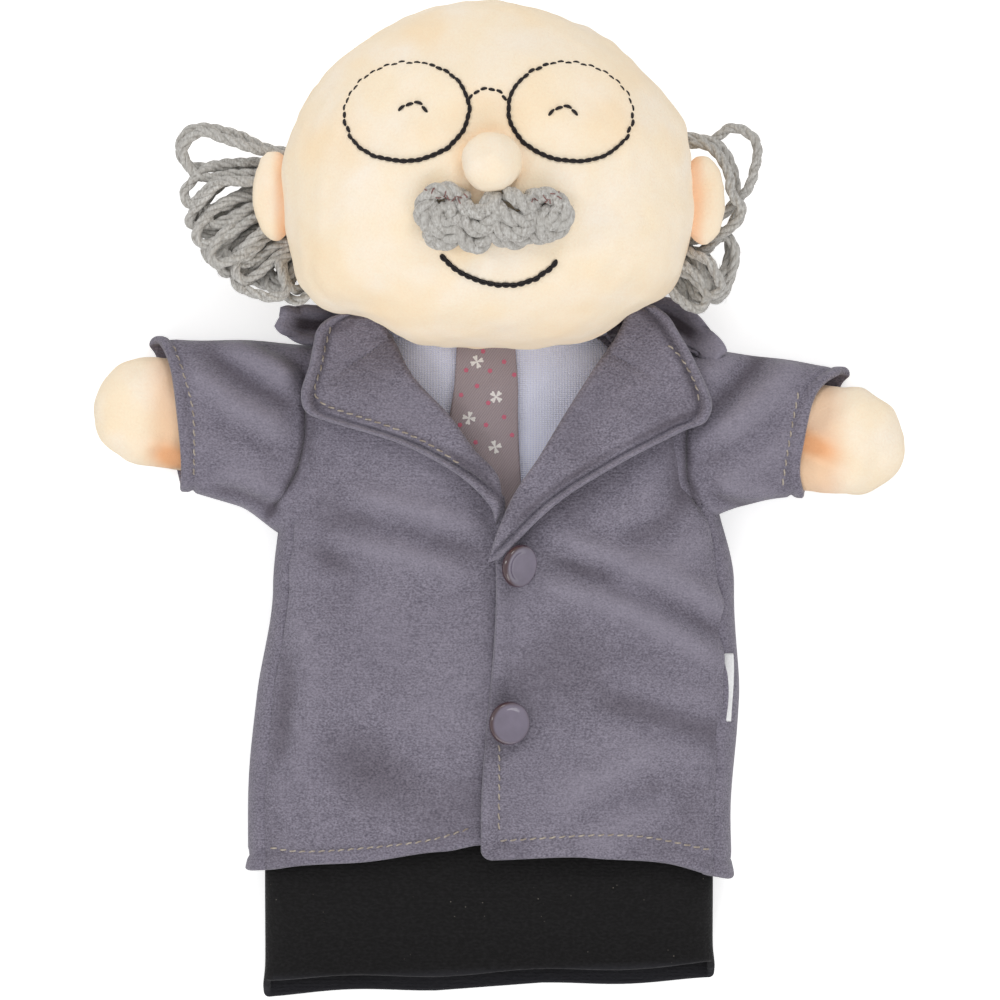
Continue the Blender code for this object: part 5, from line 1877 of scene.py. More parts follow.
@dataclass
class Hair:
    """Looped yarn at both sides, sewn in behind the ears. Places are in millimetres."""

    head: Head
    radius: float = 0.00145
    pitch: float = 0.0120
    root_z: float = 0.0277
    left: tuple[Places, ...] = (
        (
            (-55.5, 96.5), (-65.7, 97.9), (-73.2, 101.5), (-80.7, 103.7), (-86.2, 102.3), (-88.7, 98.1),
            (-87.3, 94.2), (-82.9, 92.6), (-73.2, 93.1), (-65.7, 94.0), (-55.5, 94.2)
        ),
        (
            (-55.5, 95.4), (-67.4, 96.7), (-75.7, 100.1), (-81.5, 102.0), (-85.7, 99.8), (-87.6, 96.2), (-85.1, 91.5),
            (-80.9, 89.5), (-71.8, 90.1), (-55.5, 92.0)
        ),
        (
            (-55.5, 92.6), (-69.0, 92.3), (-79.6, 92.0), (-84.0, 89.3), (-87.3, 85.4), (-85.4, 82.1), (-81.5, 84.8),
            (-77.9, 88.1), (-69.0, 88.7), (-55.5, 89.8)
        ),
        (
            (-55.5, 90.0), (-66.0, 90.3), (-74.0, 89.6), (-80.5, 86.2), (-84.0, 81.8), (-84.0, 78.0), (-79.0, 78.6),
            (-71.0, 82.8), (-55.5, 86.0)
        ),
        (
            (-55.5, 88.7), (-69.0, 88.1), (-76.8, 87.6), (-82.1, 83.2), (-85.1, 79.3), (-85.4, 76.2), (-81.5, 75.4),
            (-73.2, 79.0), (-65.7, 81.8), (-55.5, 83.2)
        ),
        (
            (-55.5, 85.9), (-70.4, 84.5), (-79.6, 79.8), (-83.7, 74.3), (-82.1, 70.4), (-76.8, 72.1), (-69.0, 77.1),
            (-55.5, 80.9)
        ),
        (
            (-55.5, 84.6), (-68.5, 84.0), (-78.0, 81.0), (-82.8, 77.0), (-82.0, 73.4), (-76.0, 75.0), (-67.0, 79.4),
            (-55.5, 82.0)
        ),
        (
            (-55.5, 83.2), (-69.0, 81.8), (-76.8, 77.1), (-81.2, 70.7), (-80.1, 66.5), (-75.1, 67.6), (-68.5, 72.6),
            (-55.5, 78.2)
        ),
        (
            (-55.5, 81.5), (-68.0, 79.6), (-75.4, 74.6), (-79.6, 68.6), (-77.8, 65.0), (-73.0, 66.6), (-67.0, 71.2),
            (-55.5, 76.4)
        ),
        (
            (-55.5, 80.4), (-67.6, 78.2), (-74.0, 72.6), (-77.9, 67.1), (-75.7, 62.9), (-71.0, 64.9), (-65.7, 69.9),
            (-55.4, 74.8)
        ),
        (
            (-55.5, 78.4), (-66.2, 76.0), (-72.4, 70.4), (-75.0, 65.0), (-72.6, 61.8), (-68.0, 64.2), (-63.8, 68.6),
            (-55.2, 73.4)
        ),
        (
            (-55.5, 77.1), (-65.7, 74.3), (-71.0, 68.7), (-72.9, 63.8), (-70.1, 60.7), (-65.7, 62.9), (-62.1, 67.1),
            (-54.8, 72.1)
        ),
        (
            (-55.2, 73.2), (-64.0, 69.3), (-70.4, 64.3), (-73.2, 61.0), (-69.6, 57.7), (-63.5, 56.0), (-59.0, 57.9),
            (-59.9, 62.4), (-60.4, 66.0), (-54.0, 70.7)
        ),
        (
            (-53.8, 69.3), (-59.9, 65.1), (-60.2, 60.2), (-58.2, 56.3), (-55.2, 55.2), (-52.7, 56.8), (-53.2, 61.0),
            (-51.5, 66.0)
        ),
        ((-54.2, 71.0), (-61.6, 67.0), (-64.6, 62.0), (-62.6, 58.6), (-58.4, 59.4), (-56.6, 63.0), (-52.4, 67.4)),
    )
    right: tuple[Places, ...] = (
        (
            (49.5, 100.9), (56.3, 100.3), (61.8, 97.0), (64.9, 91.5), (65.7, 85.4), (66.0, 79.8), (63.5, 75.4),
            (59.6, 72.1), (55.7, 68.7), (50.0, 67.6)
        ),
        (
            (49.5, 99.2), (56.8, 98.1), (61.3, 94.8), (63.5, 90.1), (64.3, 84.5), (67.1, 80.7), (65.1, 76.0),
            (60.7, 72.6), (56.8, 69.3), (50.0, 66.1)
        ),
        (
            (49.8, 99.8), (59.0, 99.5), (63.5, 102.6), (67.4, 102.8), (71.0, 99.8), (71.5, 94.8), (70.1, 89.3),
            (68.5, 85.9), (65.7, 82.6), (61.3, 78.4), (52.0, 74.8)
        ),
        (
            (50.5, 72.6), (59.0, 72.1), (63.5, 72.6), (65.4, 69.3), (64.9, 64.3), (62.9, 58.8), (60.2, 55.7),
            (57.4, 57.7), (55.7, 62.4), (49.5, 66.0)
        ),
        ((50.2, 69.3), (56.5, 67.1), (59.6, 63.2), (61.5, 58.8), (59.0, 56.3), (55.7, 59.6), (49.5, 64.3)),
        ((48.8, 66.0), (55.2, 62.1), (57.4, 57.7), (56.8, 54.1), (53.8, 52.7), (50.5, 55.4), (45.5, 59.3)),
        ((49.0, 68.0), (54.0, 65.6), (57.6, 60.6), (58.0, 56.6), (54.6, 56.4), (51.8, 60.0), (46.5, 62.6)),
    )

    def build(self) -> None:
        """Make both tufts."""
        for name, loops, side in (("hair_left", self.left, -1), ("hair_right", self.right, 1)):
            strands = Strands(6)
            for number, loop in enumerate(loops):
                self.add_loop(strands, in_metres(loop), number, side)
            for number, loop in enumerate(loops[3:]):
                root = in_metres(loop[:1])
                self.add_loop(
                    strands, root + (in_metres(loop) - root) * 0.90 + [0.0, 0.0014], number + 40, side, 0.0034
                )
            enter(strands.build(f"{name}_yarn", finishes().yarn), "grey_yarn", name)

    def add_loop(self, strands: Strands, flat: Array, number: int, side: int, below: float = 0.0) -> None:
        """Add one loop of yarn with its own height.

        Args:
            strands: Where the strands are gathered.
            flat: The loop from above.
            number: Which loop it is.
            side: -1 on the viewer's left, 1 on the right.
            below: How much lower it lies than the top ones.
        """
        chance = np.random.default_rng(100 + number * 3 + side)
        path = smooth_path(flat, 0.0007)
        share = np.linspace(0.0, 1.0, len(path))
        out = np.abs(path[:, 0] - self.head.middle[0]) - 0.054
        layer = (number * 5 % 7) / 6.0 - 0.35
        rise = 0.0085 * layer * np.sin(math.pi * share) + 0.0026 * np.sin(2 * math.pi * share + chance.uniform(0, 6))
        height = self.root_z - below + rise - 0.0042 * ramp(out / 0.034) ** 1.5
        waver = 0.00035 * np.sin(share * 23.0 + chance.uniform(0, 6))
        whole = np.stack([path[:, 0], path[:, 1] + waver, height], axis=1)
        strands.add_plied(whole, self.radius, 3, self.pitch, chance.uniform(0, 6))
        strands.add_fuzz(whole, self.radius, 0.0016, 400 + number)


@dataclass
class Shirt:
    """The jersey body of the glove and the tie on it."""

    glove: GloveForm
    wall: float = 0.0008
    top_below: float = 0.0900
    shoulder_spread: float = 0.0040
    tie_top_half: float = 0.0078
    tie_low_half: float = 0.0115
    tie_thickness: float = 0.0012
    tie_length: float = 0.0530
    tie_point: float = 0.0090
    tie_top_below: float = 0.0015
    tie_x: float = -0.0006
    tie_slant: float = -0.09
    flowers: Places = ((-6.1, 38.3), (-0.8, 28.6), (-8.3, 22.7), (-1.1, 14.7))
    specks: Places = (
        (-9.1, 36.0), (-2.5, 35.8), (1.4, 38.3), (-6.1, 31.6), (-10.5, 29.1), (-3.0, 26.9), (4.2, 34.7), (-3.6, 20.8),
        (1.4, 23.0), (-10.8, 20.8), (3.6, 18.0), (-6.5, 16.0), (-4.4, 41.2),
    )
    flower_size: float = 0.0019

    def build(self) -> Object:
        """Make the shirt and the tie.

        Returns:
            The tie.
        """
        self.build_body()
        tie = self.build_tie()
        self.print_tie(tie)
        return tie

    def build_body(self) -> None:
        """Make the tube of the shirt, up into the neck."""
        top = self.glove.shoulder_y + self.glove.neck_above
        y = np.linspace(self.glove.shoulder_y - self.top_below + 0.0004, top, 110)[:, None]
        turn = np.linspace(0.0, 2 * math.pi, 180, endpoint=False)[None, :]
        spread = self.shoulder_spread * ramp(
            (y - self.glove.shoulder_y + 0.018) / 0.014
        ) * ramp(np.sin(turn) * 2.0 + 0.6)
        grid = self.glove.point(turn, y, -self.wall / 2, spread, self.wall)
        middle = np.array([self.glove.body_x, 0.0, 0.012])
        cloth = Cloth(grid, self.wall, wrapped=True, rounded=(False, False, True, True), inside=middle)
        cloth.lift = 0.0002 * ripple(grid, 0.016, 31)
        shirt = cloth.build("shirt_jersey_body", finishes().jersey)
        declare(shirt, cloth, Held.STRETCHED, "head_back")
        enter(shirt, "shirt_jersey", "shirt_front", "shirt_back")

    def tie_middle(self, y: Array) -> Array:
        """Where the tie's middle lies from the glove's, at a level."""
        return self.tie_x + self.tie_slant * (self.glove.shoulder_y - y)

    def build_tie(self) -> Object:
        """Make the tie with its point under the coat.

        Returns:
            The tie.
        """
        top = self.glove.shoulder_y - self.tie_top_below + 0.003
        low = top - self.tie_length
        level = np.linspace(low, top, 90)[:, None]
        share = rimmed_steps(24, rim=0.05)[None, :] * 2.0 - 1.0
        half = blend(self.tie_low_half, self.tie_top_half, (level - low) / self.tie_length)
        y = level - self.tie_point * (1.0 - np.abs(share)) * (1.0 - ramp((level - low) / (2 * self.tie_point)))
        x = self.tie_middle(y) + share * half
        offset = 0.0006 + self.tie_thickness / 2 + 0.0006 * (1.0 - share**2)
        grid = self.glove.point(self.glove.front_angle(x, y, offset), y, offset)
        cloth = Cloth(grid, self.tie_thickness, rounded=(True, True, True, True))
        cloth.lift = 0.00022 * ripple(grid, 0.013, 33)
        tie = cloth.build("tie_cloth", finishes().satin)
        declare(tie, cloth, Held.LAID, "shirt_front")
        return enter(tie, "tie_satin", "tie")

    def print_tie(self, tie: Object) -> None:
        """Lay the printed flowers and specks on the tie.

        Args:
            tie: The tie.
        """
        seat = Seat(tie)
        for name, places, size, petals, material in (
            ("tie_flowers", self.flowers, self.flower_size, 4, finishes().white_print),
            ("tie_specks", self.specks, self.flower_size * 0.38, 0, finishes().rose_print),
        ):
            points, faces = [], []
            for number, (x, y) in enumerate(in_metres(places)):
                outline = self.outline(size, petals, number)
                flat = np.concatenate([[[x, y]], outline + [x, y]])
                start = len(points)
                points.extend(seat.lay(flat, 0.00006))
                count = len(outline)
                for k in range(count):
                    last = start + 1 + (k + 1) % count
                    faces.append((start, start + 1 + k, last, last))
            piece = mesh_piece(name, np.array(points), np.array(faces), material)
            enter(piece, "tie_satin")

    def outline(self, size: float, petals: int, number: int) -> Array:
        """The outline of a flower with flared petals, or of a speck.

        Args:
            size: Half its width.
            petals: Number of petals; 0 makes a speck.
            number: Which one it is, which turns it.

        Returns:
            Places round it.
        """
        start = 0.35 + 0.5 * number
        if not petals:
            turns = start + np.linspace(0.0, 2 * math.pi, 6)[:-1]
            return size * np.stack([np.cos(turns), np.sin(turns)], axis=1)
        outline = []
        for k in range(petals):
            turn = start + 2 * math.pi * k / petals
            for lean, reach in (
                (-0.70, 0.16), (-0.42, 0.92), (-0.20, 1.0), (0.0, 0.86), (0.20, 1.0), (0.42, 0.92), (0.70, 0.16)
            ):
                outline.append((reach * math.cos(turn + lean), reach * math.sin(turn + lean)))
        return size * np.array(outline)


@dataclass
class Trousers:
    """The black velour tube below the coat."""

    glove: GloveForm
    wall: float = 0.0014
    top_below: float = 0.0900
    length: float = 0.1842
    hem_stagger: float = 0.0048
    hem_slope: float = 0.035

    def build(self) -> None:
        """Make the tube with its thick turned hem."""
        share = rimmed_steps(80, near_last=False, rim=0.014)[:, None]
        turn = np.linspace(0.0, 2 * math.pi, 220, endpoint=False)[None, :]
        front = ramp(np.sin(turn) * 3.0 + 0.5)
        x = self.glove.section(turn, self.glove.hip_half, 0.0, 0.0)[0]
        hem = self.glove.shoulder_y - self.length + self.hem_stagger * front + self.hem_slope * (
            x + self.glove.hip_half
        )
        hem = hem + 0.0006 * np.sin(x * 120.0)
        y = blend(hem, self.glove.shoulder_y - self.top_below - 0.0004, share)
        grid = self.glove.point(turn, y, -self.wall / 2, least=self.wall / 2)
        middle = np.array([self.glove.body_x, -0.1, 0.010])
        cloth = Cloth(grid, self.wall, wrapped=True, rounded=(True, False, True, True), inside=middle)
        low = y - hem
        band = np.exp(-(((low - 0.0105) / 0.0012) ** 2))
        cloth.lift = 0.0005 * ripple(grid, 0.030, 41) * ramp(np.sin(turn) * 2) - 0.0003 * band * ramp(np.sin(turn) * 2)
        cloth.puff = 0.0006 * np.exp(-((low / 0.004) ** 2))
        trousers = cloth.build("trousers_velour_tube", finishes().velour)
        # Painted light: the back lip and the roll of the front hem are lightened through the stored shade number.
        points = points_of(trousers)
        edge = self.glove.shoulder_y - self.length + self.hem_slope * (points[:, 0] + self.glove.hip_half)
        lip = ramp(1.0 - (points[:, 1] - edge - 0.0010) / 0.0060) * (points[:, 2] < 0.012)
        bend = np.exp(-(((points[:, 1] - edge - self.hem_stagger) / 0.0011) ** 2)) * (points[:, 2] > 0.012)
        store(trousers, "shade", np.clip(0.42 * lip + 0.3 * bend, 0.0, 1.0))
        declare(trousers, cloth, Held.STRETCHED, "shirt_front", "shirt_back")
        enter(trousers, "trousers_velour", "trousers_front", "trousers_back")


@dataclass
class Arm:
    """A hollow mitten arm of flesh plush."""

    glove: GloveForm
    name: str
    side: int
    root: tuple[float, float]
    tip: tuple[float, float]
    cuff: tuple[float, float]
    crease: Fold
    wall: float = 0.0012
    arm_half: float = 0.0152
    hand_half: float = 0.0166
    arm_height: float = 0.0130
    hand_height: float = 0.0195
    hand_length: float = 0.0260
    swell_length: float = 0.0120
    roundness: float = 2.3
    press: float = 0.0003

    def build(self) -> None:
        """Make the arm."""
        grid = self.rings(0.0)
        inner = self.rings(self.wall)
        lift = fold_relief((self.crease,), grid) * (grid[..., 2] > 0.010)
        lift = lift + 0.00045 * ripple(grid, 0.013, 50 + self.side) + 0.00012 * ripple(grid, 0.005, 53)
        lift = lift * ramp((grid.shape[0] - 1.0 - np.arange(grid.shape[0])) / 7.0)[:, None]
        normal = grid_normals(grid, True, grid.mean(axis=(0, 1)))
        outer = grid + normal * lift[..., None]
        outer[..., 2] = np.maximum(outer[..., 2], 0.0)
        count = grid.shape[0] * grid.shape[1]
        first = np.arange(count).reshape(grid.shape[:2])
        second = first + count
        faces = np.concatenate(
            [
                grid_faces(first, True), grid_faces(second, True)[:, ::-1],
                grid_faces(np.stack([second[0], first[0]]), True)
            ]
        )
        points = np.concatenate([outer.reshape(-1, 3), inner.reshape(-1, 3)])
        arm = mesh_piece(f"{self.name}_plush", points, faces, finishes().plush, mend=True)
        self.shade(arm)
        enter(arm, "skin_plush", self.name)

    def shade(self, arm: Object) -> None:
        """Paint shade beside the cuff, in the crease and low down near the floor.

        Args:
            arm: The arm.
        """
        points = points_of(arm)
        cuff = self.side * (points[:, 0] - self.glove.body_x) - abs(self.cuff[0])
        inside = ramp(1.0 - cuff / 0.009) * 0.45
        distance, share = line_distance(points[:, 0], points[:, 1], in_metres(self.crease.line))
        along = share if self.side > 0 else 1.0 - share
        crease = np.exp(-((distance / 0.0032) ** 2)) * 0.75 * ramp(1.2 - along) * (points[:, 2] > 0.010)
        low = ramp((0.007 - points[:, 2]) / 0.006) * 0.25
        store(arm, "shade", np.clip(inside + crease + low, 0.0, 1.0))

    def rings(self, inset: float) -> Array:
        """Rings from the root to the tip, inset from the outer face.

        Args:
            inset: Distance in.

        Returns:
            Rows of places.
        """
        home = np.array([self.glove.body_x, self.glove.shoulder_y])
        root, tip = home + self.root, home + self.tip
        length = float(np.linalg.norm(tip - root))
        cuff_reach = abs(self.glove.body_x + self.cuff[0] - root[0])
        low_root = self.glove.base_height + 0.0008
        share = np.linspace(0.0, 1.0, 76)[:, None]
        reach = (length - inset) * np.sin(share * math.pi / 2) ** 0.9
        closing = np.maximum(0.0, (reach - length + self.hand_length) / (self.hand_length - inset))
        spread = np.maximum(0.0, 1.0 - closing**self.roundness) ** (1.0 / self.roundness)
        opening = ramp(2.0 * reach / cuff_reach - 0.5)
        swell_share = ramp((reach - cuff_reach) / self.swell_length)
        low = blend(blend(low_root, 0.0021, opening), self.press, swell_share)
        high = blend(blend(low_root + self.arm_height, 0.0172, opening), self.press + self.hand_height, swell_share)
        middle = root + (tip - root) * (reach / length)
        side = blend(low, high, 0.45)
        half = (blend(self.arm_half, self.hand_half, swell_share) - inset) * spread
        turn = np.linspace(0.0, 2 * math.pi, 110, endpoint=False)[None, :]
        across, up = self.glove.section(turn, half, (high - side - inset) * spread, (side - low - inset) * spread)
        return np.stack(np.broadcast_arrays(middle[:, :1] + 0.0 * turn, middle[:, 1:] + across, side + up), axis=-1)


@dataclass
class Sleeve:
    """A short sleeve of the coat."""

    glove: GloveForm
    name: str
    side: int
    root: tuple[float, float]
    root_half: float
    cuff: tuple[float, float]
    cuff_half: float
    lean: float
    bow: float
    flare: float
    seam: Places
    folds: tuple[Fold, ...]
    peek: float = 0.0026
    wall: float = 0.0017
    height: float = 0.0205
    side_height: float = 0.0080

    def build(self) -> Object:
        """Make the sleeve.

        Returns:
            The sleeve.
        """
        share = rimmed_steps(90, near_first=False, rim=0.03)[:, None]
        reach = blend(-0.10, 1.0, share)
        turn = np.linspace(0.0, 2 * math.pi, 180, endpoint=False)[None, :]
        home = np.array([self.glove.body_x, self.glove.shoulder_y])
        middle = home + self.root + (np.array(self.cuff) - np.array(self.root)) * reach
        lean = self.side * self.lean * ramp(reach)
        half = blend(self.root_half, self.cuff_half, reach) - self.wall / 2
        sag = self.height - self.side_height - self.wall / 2
        across, up = self.glove.section(turn, half, sag, self.side_height - self.wall / 2)
        x = middle[:, :1] + np.sin(lean) * across
        y = middle[:, 1:] + np.cos(lean) * across
        towards = across / half
        front = ramp(np.sin(turn) * 1.6 + 0.35)
        rest = (1.0 - towards**4) * (1.0 + 0.35 * towards)
        corner = np.exp(-(((turn - 2 * math.pi + 0.45) / 0.42) ** 2))
        out = (self.peek * corner + 0.0012 * (1.0 - front) * rest - self.bow * front * rest) * ramp(share) ** 2
        x = x + self.side * out
        y = y - self.flare * (1.0 - ramp((reach - 0.22) / 0.40)) * ramp(-towards * 1.2)
        grid = np.stack(np.broadcast_arrays(x, y, self.side_height + up), axis=-1)
        inside = grid.mean(axis=(0, 1))
        cloth = Cloth(grid, self.wall, wrapped=True, rounded=(False, True, True, True), inside=inside)
        top = ramp((grid[..., 2] - 0.0105) / 0.0075)
        distance, _ = line_distance(grid[..., 0], grid[..., 1], smooth_path(in_metres(self.seam), 2 * MM))
        pinch = 0.0012 * np.exp(-((distance / 0.0040) ** 2)) + 0.0014 * np.exp(-((distance / 0.0010) ** 2))
        pinch = pinch - 0.0009 * np.exp(-(((distance - 0.0070) / 0.0040) ** 2))
        edge = border_distance(grid, (False, True, False, False), True)
        cloth.lift = (fold_relief(self.folds, grid) - pinch) * top + 0.0004 * ripple(grid, 0.022, 60 + self.side)
        cloth.puff = 0.0007 * ramp(1.0 - edge / 0.0044) - 0.0007 * np.exp(-(((edge - 0.0036) / 0.0007) ** 2))
        sleeve = cloth.build(f"{self.name}_velour", finishes().coat)
        # Painted shade in the folds and along the armhole seam, and a painted highlight on the fold ridges.
        points = points_of(sleeve)
        distance, _ = line_distance(points[:, 0], points[:, 1], in_metres(self.seam))
        tint(
            sleeve,
            (fold_relief(self.folds, points) - 0.0016 * np.exp(-((distance / 0.0013) ** 2))) * (points[:, 2] > 0.008)
        )
        declare(sleeve, cloth, Held.STRETCHED, self.name.replace("sleeve", "arm"))
        return enter(sleeve, "coat_cloth", self.name)


@dataclass
class Lapel:
    """A turned-down lapel from its roll line to its outline, in millimetres."""

    glove: GloveForm
    name: str
    side: int
    roll: Places
    outline: Places
    thickness: float = 0.0034
    lift: float = 0.0012
    flat_from: float = 0.80

    def build(self, coat: Coat) -> Object:
        """Make the lapel over the coat.

        Args:
            coat: The coat that it lies on.

        Returns:
            The lapel.
        """
        along = rimmed_steps(110, rim=0.012)
        across = rimmed_steps(44, rim=0.035)[None, :, None]
        roll = self.follow(self.roll, along)[:, None]
        outer = self.follow(self.outline, along)[:, None]
        flat = blend(roll, outer, across)
        x, y = flat[..., 0], flat[..., 1]
        from_middle = x - self.glove.middle(y)
        z = coat.outer_height(from_middle, y, self.side, self.flat_from) + self.lift + self.thickness / 2
        from_roll = np.linalg.norm(flat - roll, axis=2)
        z = z + 0.0014 * np.exp(-((from_roll / 0.0055) ** 2))
        grid = np.stack([x, y, z], axis=-1)
        cloth = Cloth(grid, self.thickness)
        edge = border_distance(grid, (False, False, False, True), False)
        cloth.lift = 0.00035 * ripple(grid, 0.026, 70 + self.side)
        cloth.puff = 0.0010 * ramp(1.0 - edge / 0.0040) - 0.0013 * np.exp(-(((edge - 0.0036) / 0.0009) ** 2))
        lapel = cloth.build(f"{self.name}_velour", finishes().coat)
        # Painted highlight on the rolled edge and painted shade along the stitch groove, over a random wave of tone.
        points = points_of(lapel)
        border, _ = line_distance(points[:, 0], points[:, 1], smooth_path(in_metres(self.outline), MM))
        fade = ramp((points[:, 1] + 0.012) / 0.012)
        groove = np.exp(-(((border - 0.0037) / 0.0011) ** 2)) * fade
        wave = 0.5 * ripple(points, 0.020, 75 + self.side)
        tint(lapel, MM * (wave + 1.0 * ramp(1.0 - border / 0.003) - 1.1 * groove))
        declare(lapel, cloth, Held.FOLDED, self.name.replace("lapel", "coat_front"))
        return enter(lapel, "coat_cloth", self.name)

    def follow(self, line: Places, shares: Array) -> Array:
        """Places at shares of a line's length.

        Args:
            line: The line in millimetres.
            shares: From 0 to 1.

        Returns:
            Two numbers for each share.
        """
        path = smooth_path(in_metres(line), 0.0004)
        own = np.linspace(0.0, 1.0, len(path))
        return np.stack([np.interp(shares, own, path[:, k]) for k in range(2)], axis=1)


@dataclass
class Coat:
    """The velour coat: two fronts that overlap, a back and the collar."""

    glove: GloveForm
    wall: float = 0.0017
    ease: float = 0.0020
    side_ease: float = 0.0015
    side_angle: float = math.radians(22.0)
    front_edge_x: float = -0.0022
    underlap: float = 0.0120
    overlap_width: float = 0.0240
    layer_gap: float = 0.0006
    neckline_half: float = 0.0325
    right_neckline_half: float = 0.0370
    corner: float = 0.0030
    left_drop: float = 0.0528
    left_turn: float = 0.0450
    left_turn_x: float = 0.0016
    underlap_turn: float = 0.0100
    right_drop: float = 0.0590
    placket: float = 0.0047
    hem: float = 0.0048
    tuck: float = 0.11
    left_hem: tuple[tuple[float, float], ...] = (
        (-0.068, 0.0), (-0.055, 0.0012), (-0.032, 0.0028), (-0.012, 0.0015), (-0.002, 0.0),
    )
    right_hem: tuple[tuple[float, float], ...] = ((-0.002, 0.0042), (0.029, 0.0022), (0.047, 0.0012), (0.062, 0.0026))
    folds: tuple[Fold, ...] = (
        Fold(((-47.0, -3.0), (-34.0, -6.6), (-20.5, -10.0), (-1.0, -16.6)), 3.0, 3.6),
        Fold(((-62.0, -10.8), (-55.2, -13.3), (-38.9, -19.1)), 0.9, 3.0),
        Fold(((6.0, -12.8), (21.1, -18.9), (38.6, -24.7), (61.9, -37.5), (72.0, -42.0)), 3.8, 3.6),
        Fold(((24.0, -55.0), (44.0, -60.0), (66.0, -67.0)), 1.8, 4.6),
        Fold(((16.9, -92.3), (30.0, -84.0), (49.5, -76.8)), 2.0, 4.2),
        Fold(((-60.0, -60.0), (-40.0, -72.0), (-15.0, -78.0)), 0.8, 8.0),
        Fold(((-52.0, 10.0), (-46.0, -20.0), (-47.0, -50.0)), 0.9, 7.5),
        Fold(((52.0, 12.0), (47.0, -6.0), (26.0, -16.0)), 2.2, 4.8),
        Fold(((-60.5, -30.0), (-58.5, -50.0), (-62.0, -80.0)), 1.6, 3.4),
    )
    arm_seams: tuple[Places, ...] = (
        ((-53.9, 30.0), (-53.9, 24.5), (-54.5, 15.6), (-57.0, 6.7), (-65.0, -5.3)),
        ((52.3, 26.0), (52.3, 20.8), (52.3, 6.7), (55.6, -1.7), (59.8, -7.5)),
    )

    @property
    def middle_offset(self) -> float:
        """Distance of the coat's middle from the glove."""
        return self.ease + 0.0015 / 2

    @property
    def outer(self) -> float:
        """Distance of the coat's outer face from the glove."""
        return self.ease + 0.0015

    def left_edge(self, y: Array) -> Array:
        """The left front's edge at a level, from the middle.

        Args:
            y: Place along the coat.

        Returns:
            Where the edge runs.
        """
        below = self.glove.shoulder_y - y
        roll = blend(-self.neckline_half, self.left_turn_x, below / self.left_turn)
        share = ramp((below - self.left_drop) / self.underlap_turn)
        return blend(np.minimum(roll, self.left_turn_x), self.front_edge_x + self.underlap, share)

    def right_edge(self, y: Array) -> Array:
        """The right front's edge at a level, from the middle.

        Args:
            y: Place along the coat.

        Returns:
            Where the edge runs.
        """
        start = self.glove.shoulder_y - self.right_drop
        slope = blend(self.front_edge_x, self.right_neckline_half, (y - start) / self.right_drop)
        return np.maximum(self.front_edge_x, slope)

    def overlap(self, x: Array) -> Array:
        """How far the right front is lifted by the left one."""
        reach = (x - self.front_edge_x - self.underlap) / self.overlap_width
        return (0.0015 + self.layer_gap) * (1.0 - ramp(reach))

    def outer_height(self, x: Array, y: Array, side: int, flat_from: float = 1.0) -> Array:
        """Height of the coat's outer face at places from the middle.

        Args:
            x: Places from the middle.
            y: Levels.
            side: -1 on the viewer's left, 1 on the right.
            flat_from: Share of the half width past which it is taken as level.

        Returns:
            The height.
        """
        limit = flat_from * (self.glove.half_width(y) + self.side_ease + self.outer)
        height = self.glove.front_height(np.clip(x, -limit, limit), y, self.outer, self.side_ease)
        return height + (self.overlap(x) if side > 0 else 0.0)

    def panel(
        self, first: Callable[[Array], Array], last: Callable[[Array], Array], columns: Array, lifted: bool
    ) -> Array:
        """Places over a panel of the coat.

        Args:
            first: Gives the first angle at a level.
            last: Gives the last angle at a level.
            columns: Shares across.
            lifted: Whether it lies on the other front.

        Returns:
            Rows and columns of places.
        """
        share = rimmed_steps(130, near_last=False, rim=0.012)[:, None]
        hem_y = self.glove.shoulder_y - self.glove.coat_length
        level = blend(hem_y, self.glove.shoulder_y, share)
        angle = blend(first(level), last(level), columns[None, :])
        across = self.glove.point(angle, level, 0.0, self.side_ease)[..., 0] - self.glove.middle(level)
        y = level - self.glove.hem_drop * (across / self.glove.hip_half) ** 2 * (1.0 - share) ** 2
        extra = np.where(across < -0.003, through(self.left_hem, across), through(self.right_hem, across))
        if not lifted:
            extra = np.where(across < 0.015, through(self.left_hem, across), extra)
        else:
            extra = through(self.right_hem, across)
            near = np.clip((across - across[:, :1]) / self.corner, 0.0, 1.0)
            y = y + self.corner * (1.0 - np.sqrt(1.0 - (1.0 - near) ** 2)) * (1.0 - share) ** 20
        y = y - extra * ramp(np.sin(angle) * 3.0 + 0.7) * (1.0 - share) ** 6
        raised = self.overlap(across) if lifted else 0.0
        return self.glove.point(angle, y, self.middle_offset + raised, self.side_ease, self.wall / 2)

    def relief(self, grid: Array, seed: int) -> Array:
        """Creases, armhole seams and slight waves of a panel.

        Args:
            grid: Its places.
            seed: Number that picks the waves.

        Returns:
            How far each place moves out.
        """
        top = ramp((grid[..., 2] - 0.008) / 0.006)
        lift = (fold_relief(self.folds, grid) + 0.0006 * ripple(grid, 0.035, seed)) * top
        for seam in self.arm_seams:
            distance, _ = line_distance(grid[..., 0], grid[..., 1], smooth_path(in_metres(seam), 2 * MM))
            lift -= (0.0012 * np.exp(-((distance / 0.0040) ** 2)) + 0.0012 * np.exp(-((distance / 0.0010) ** 2))) * top
        return lift

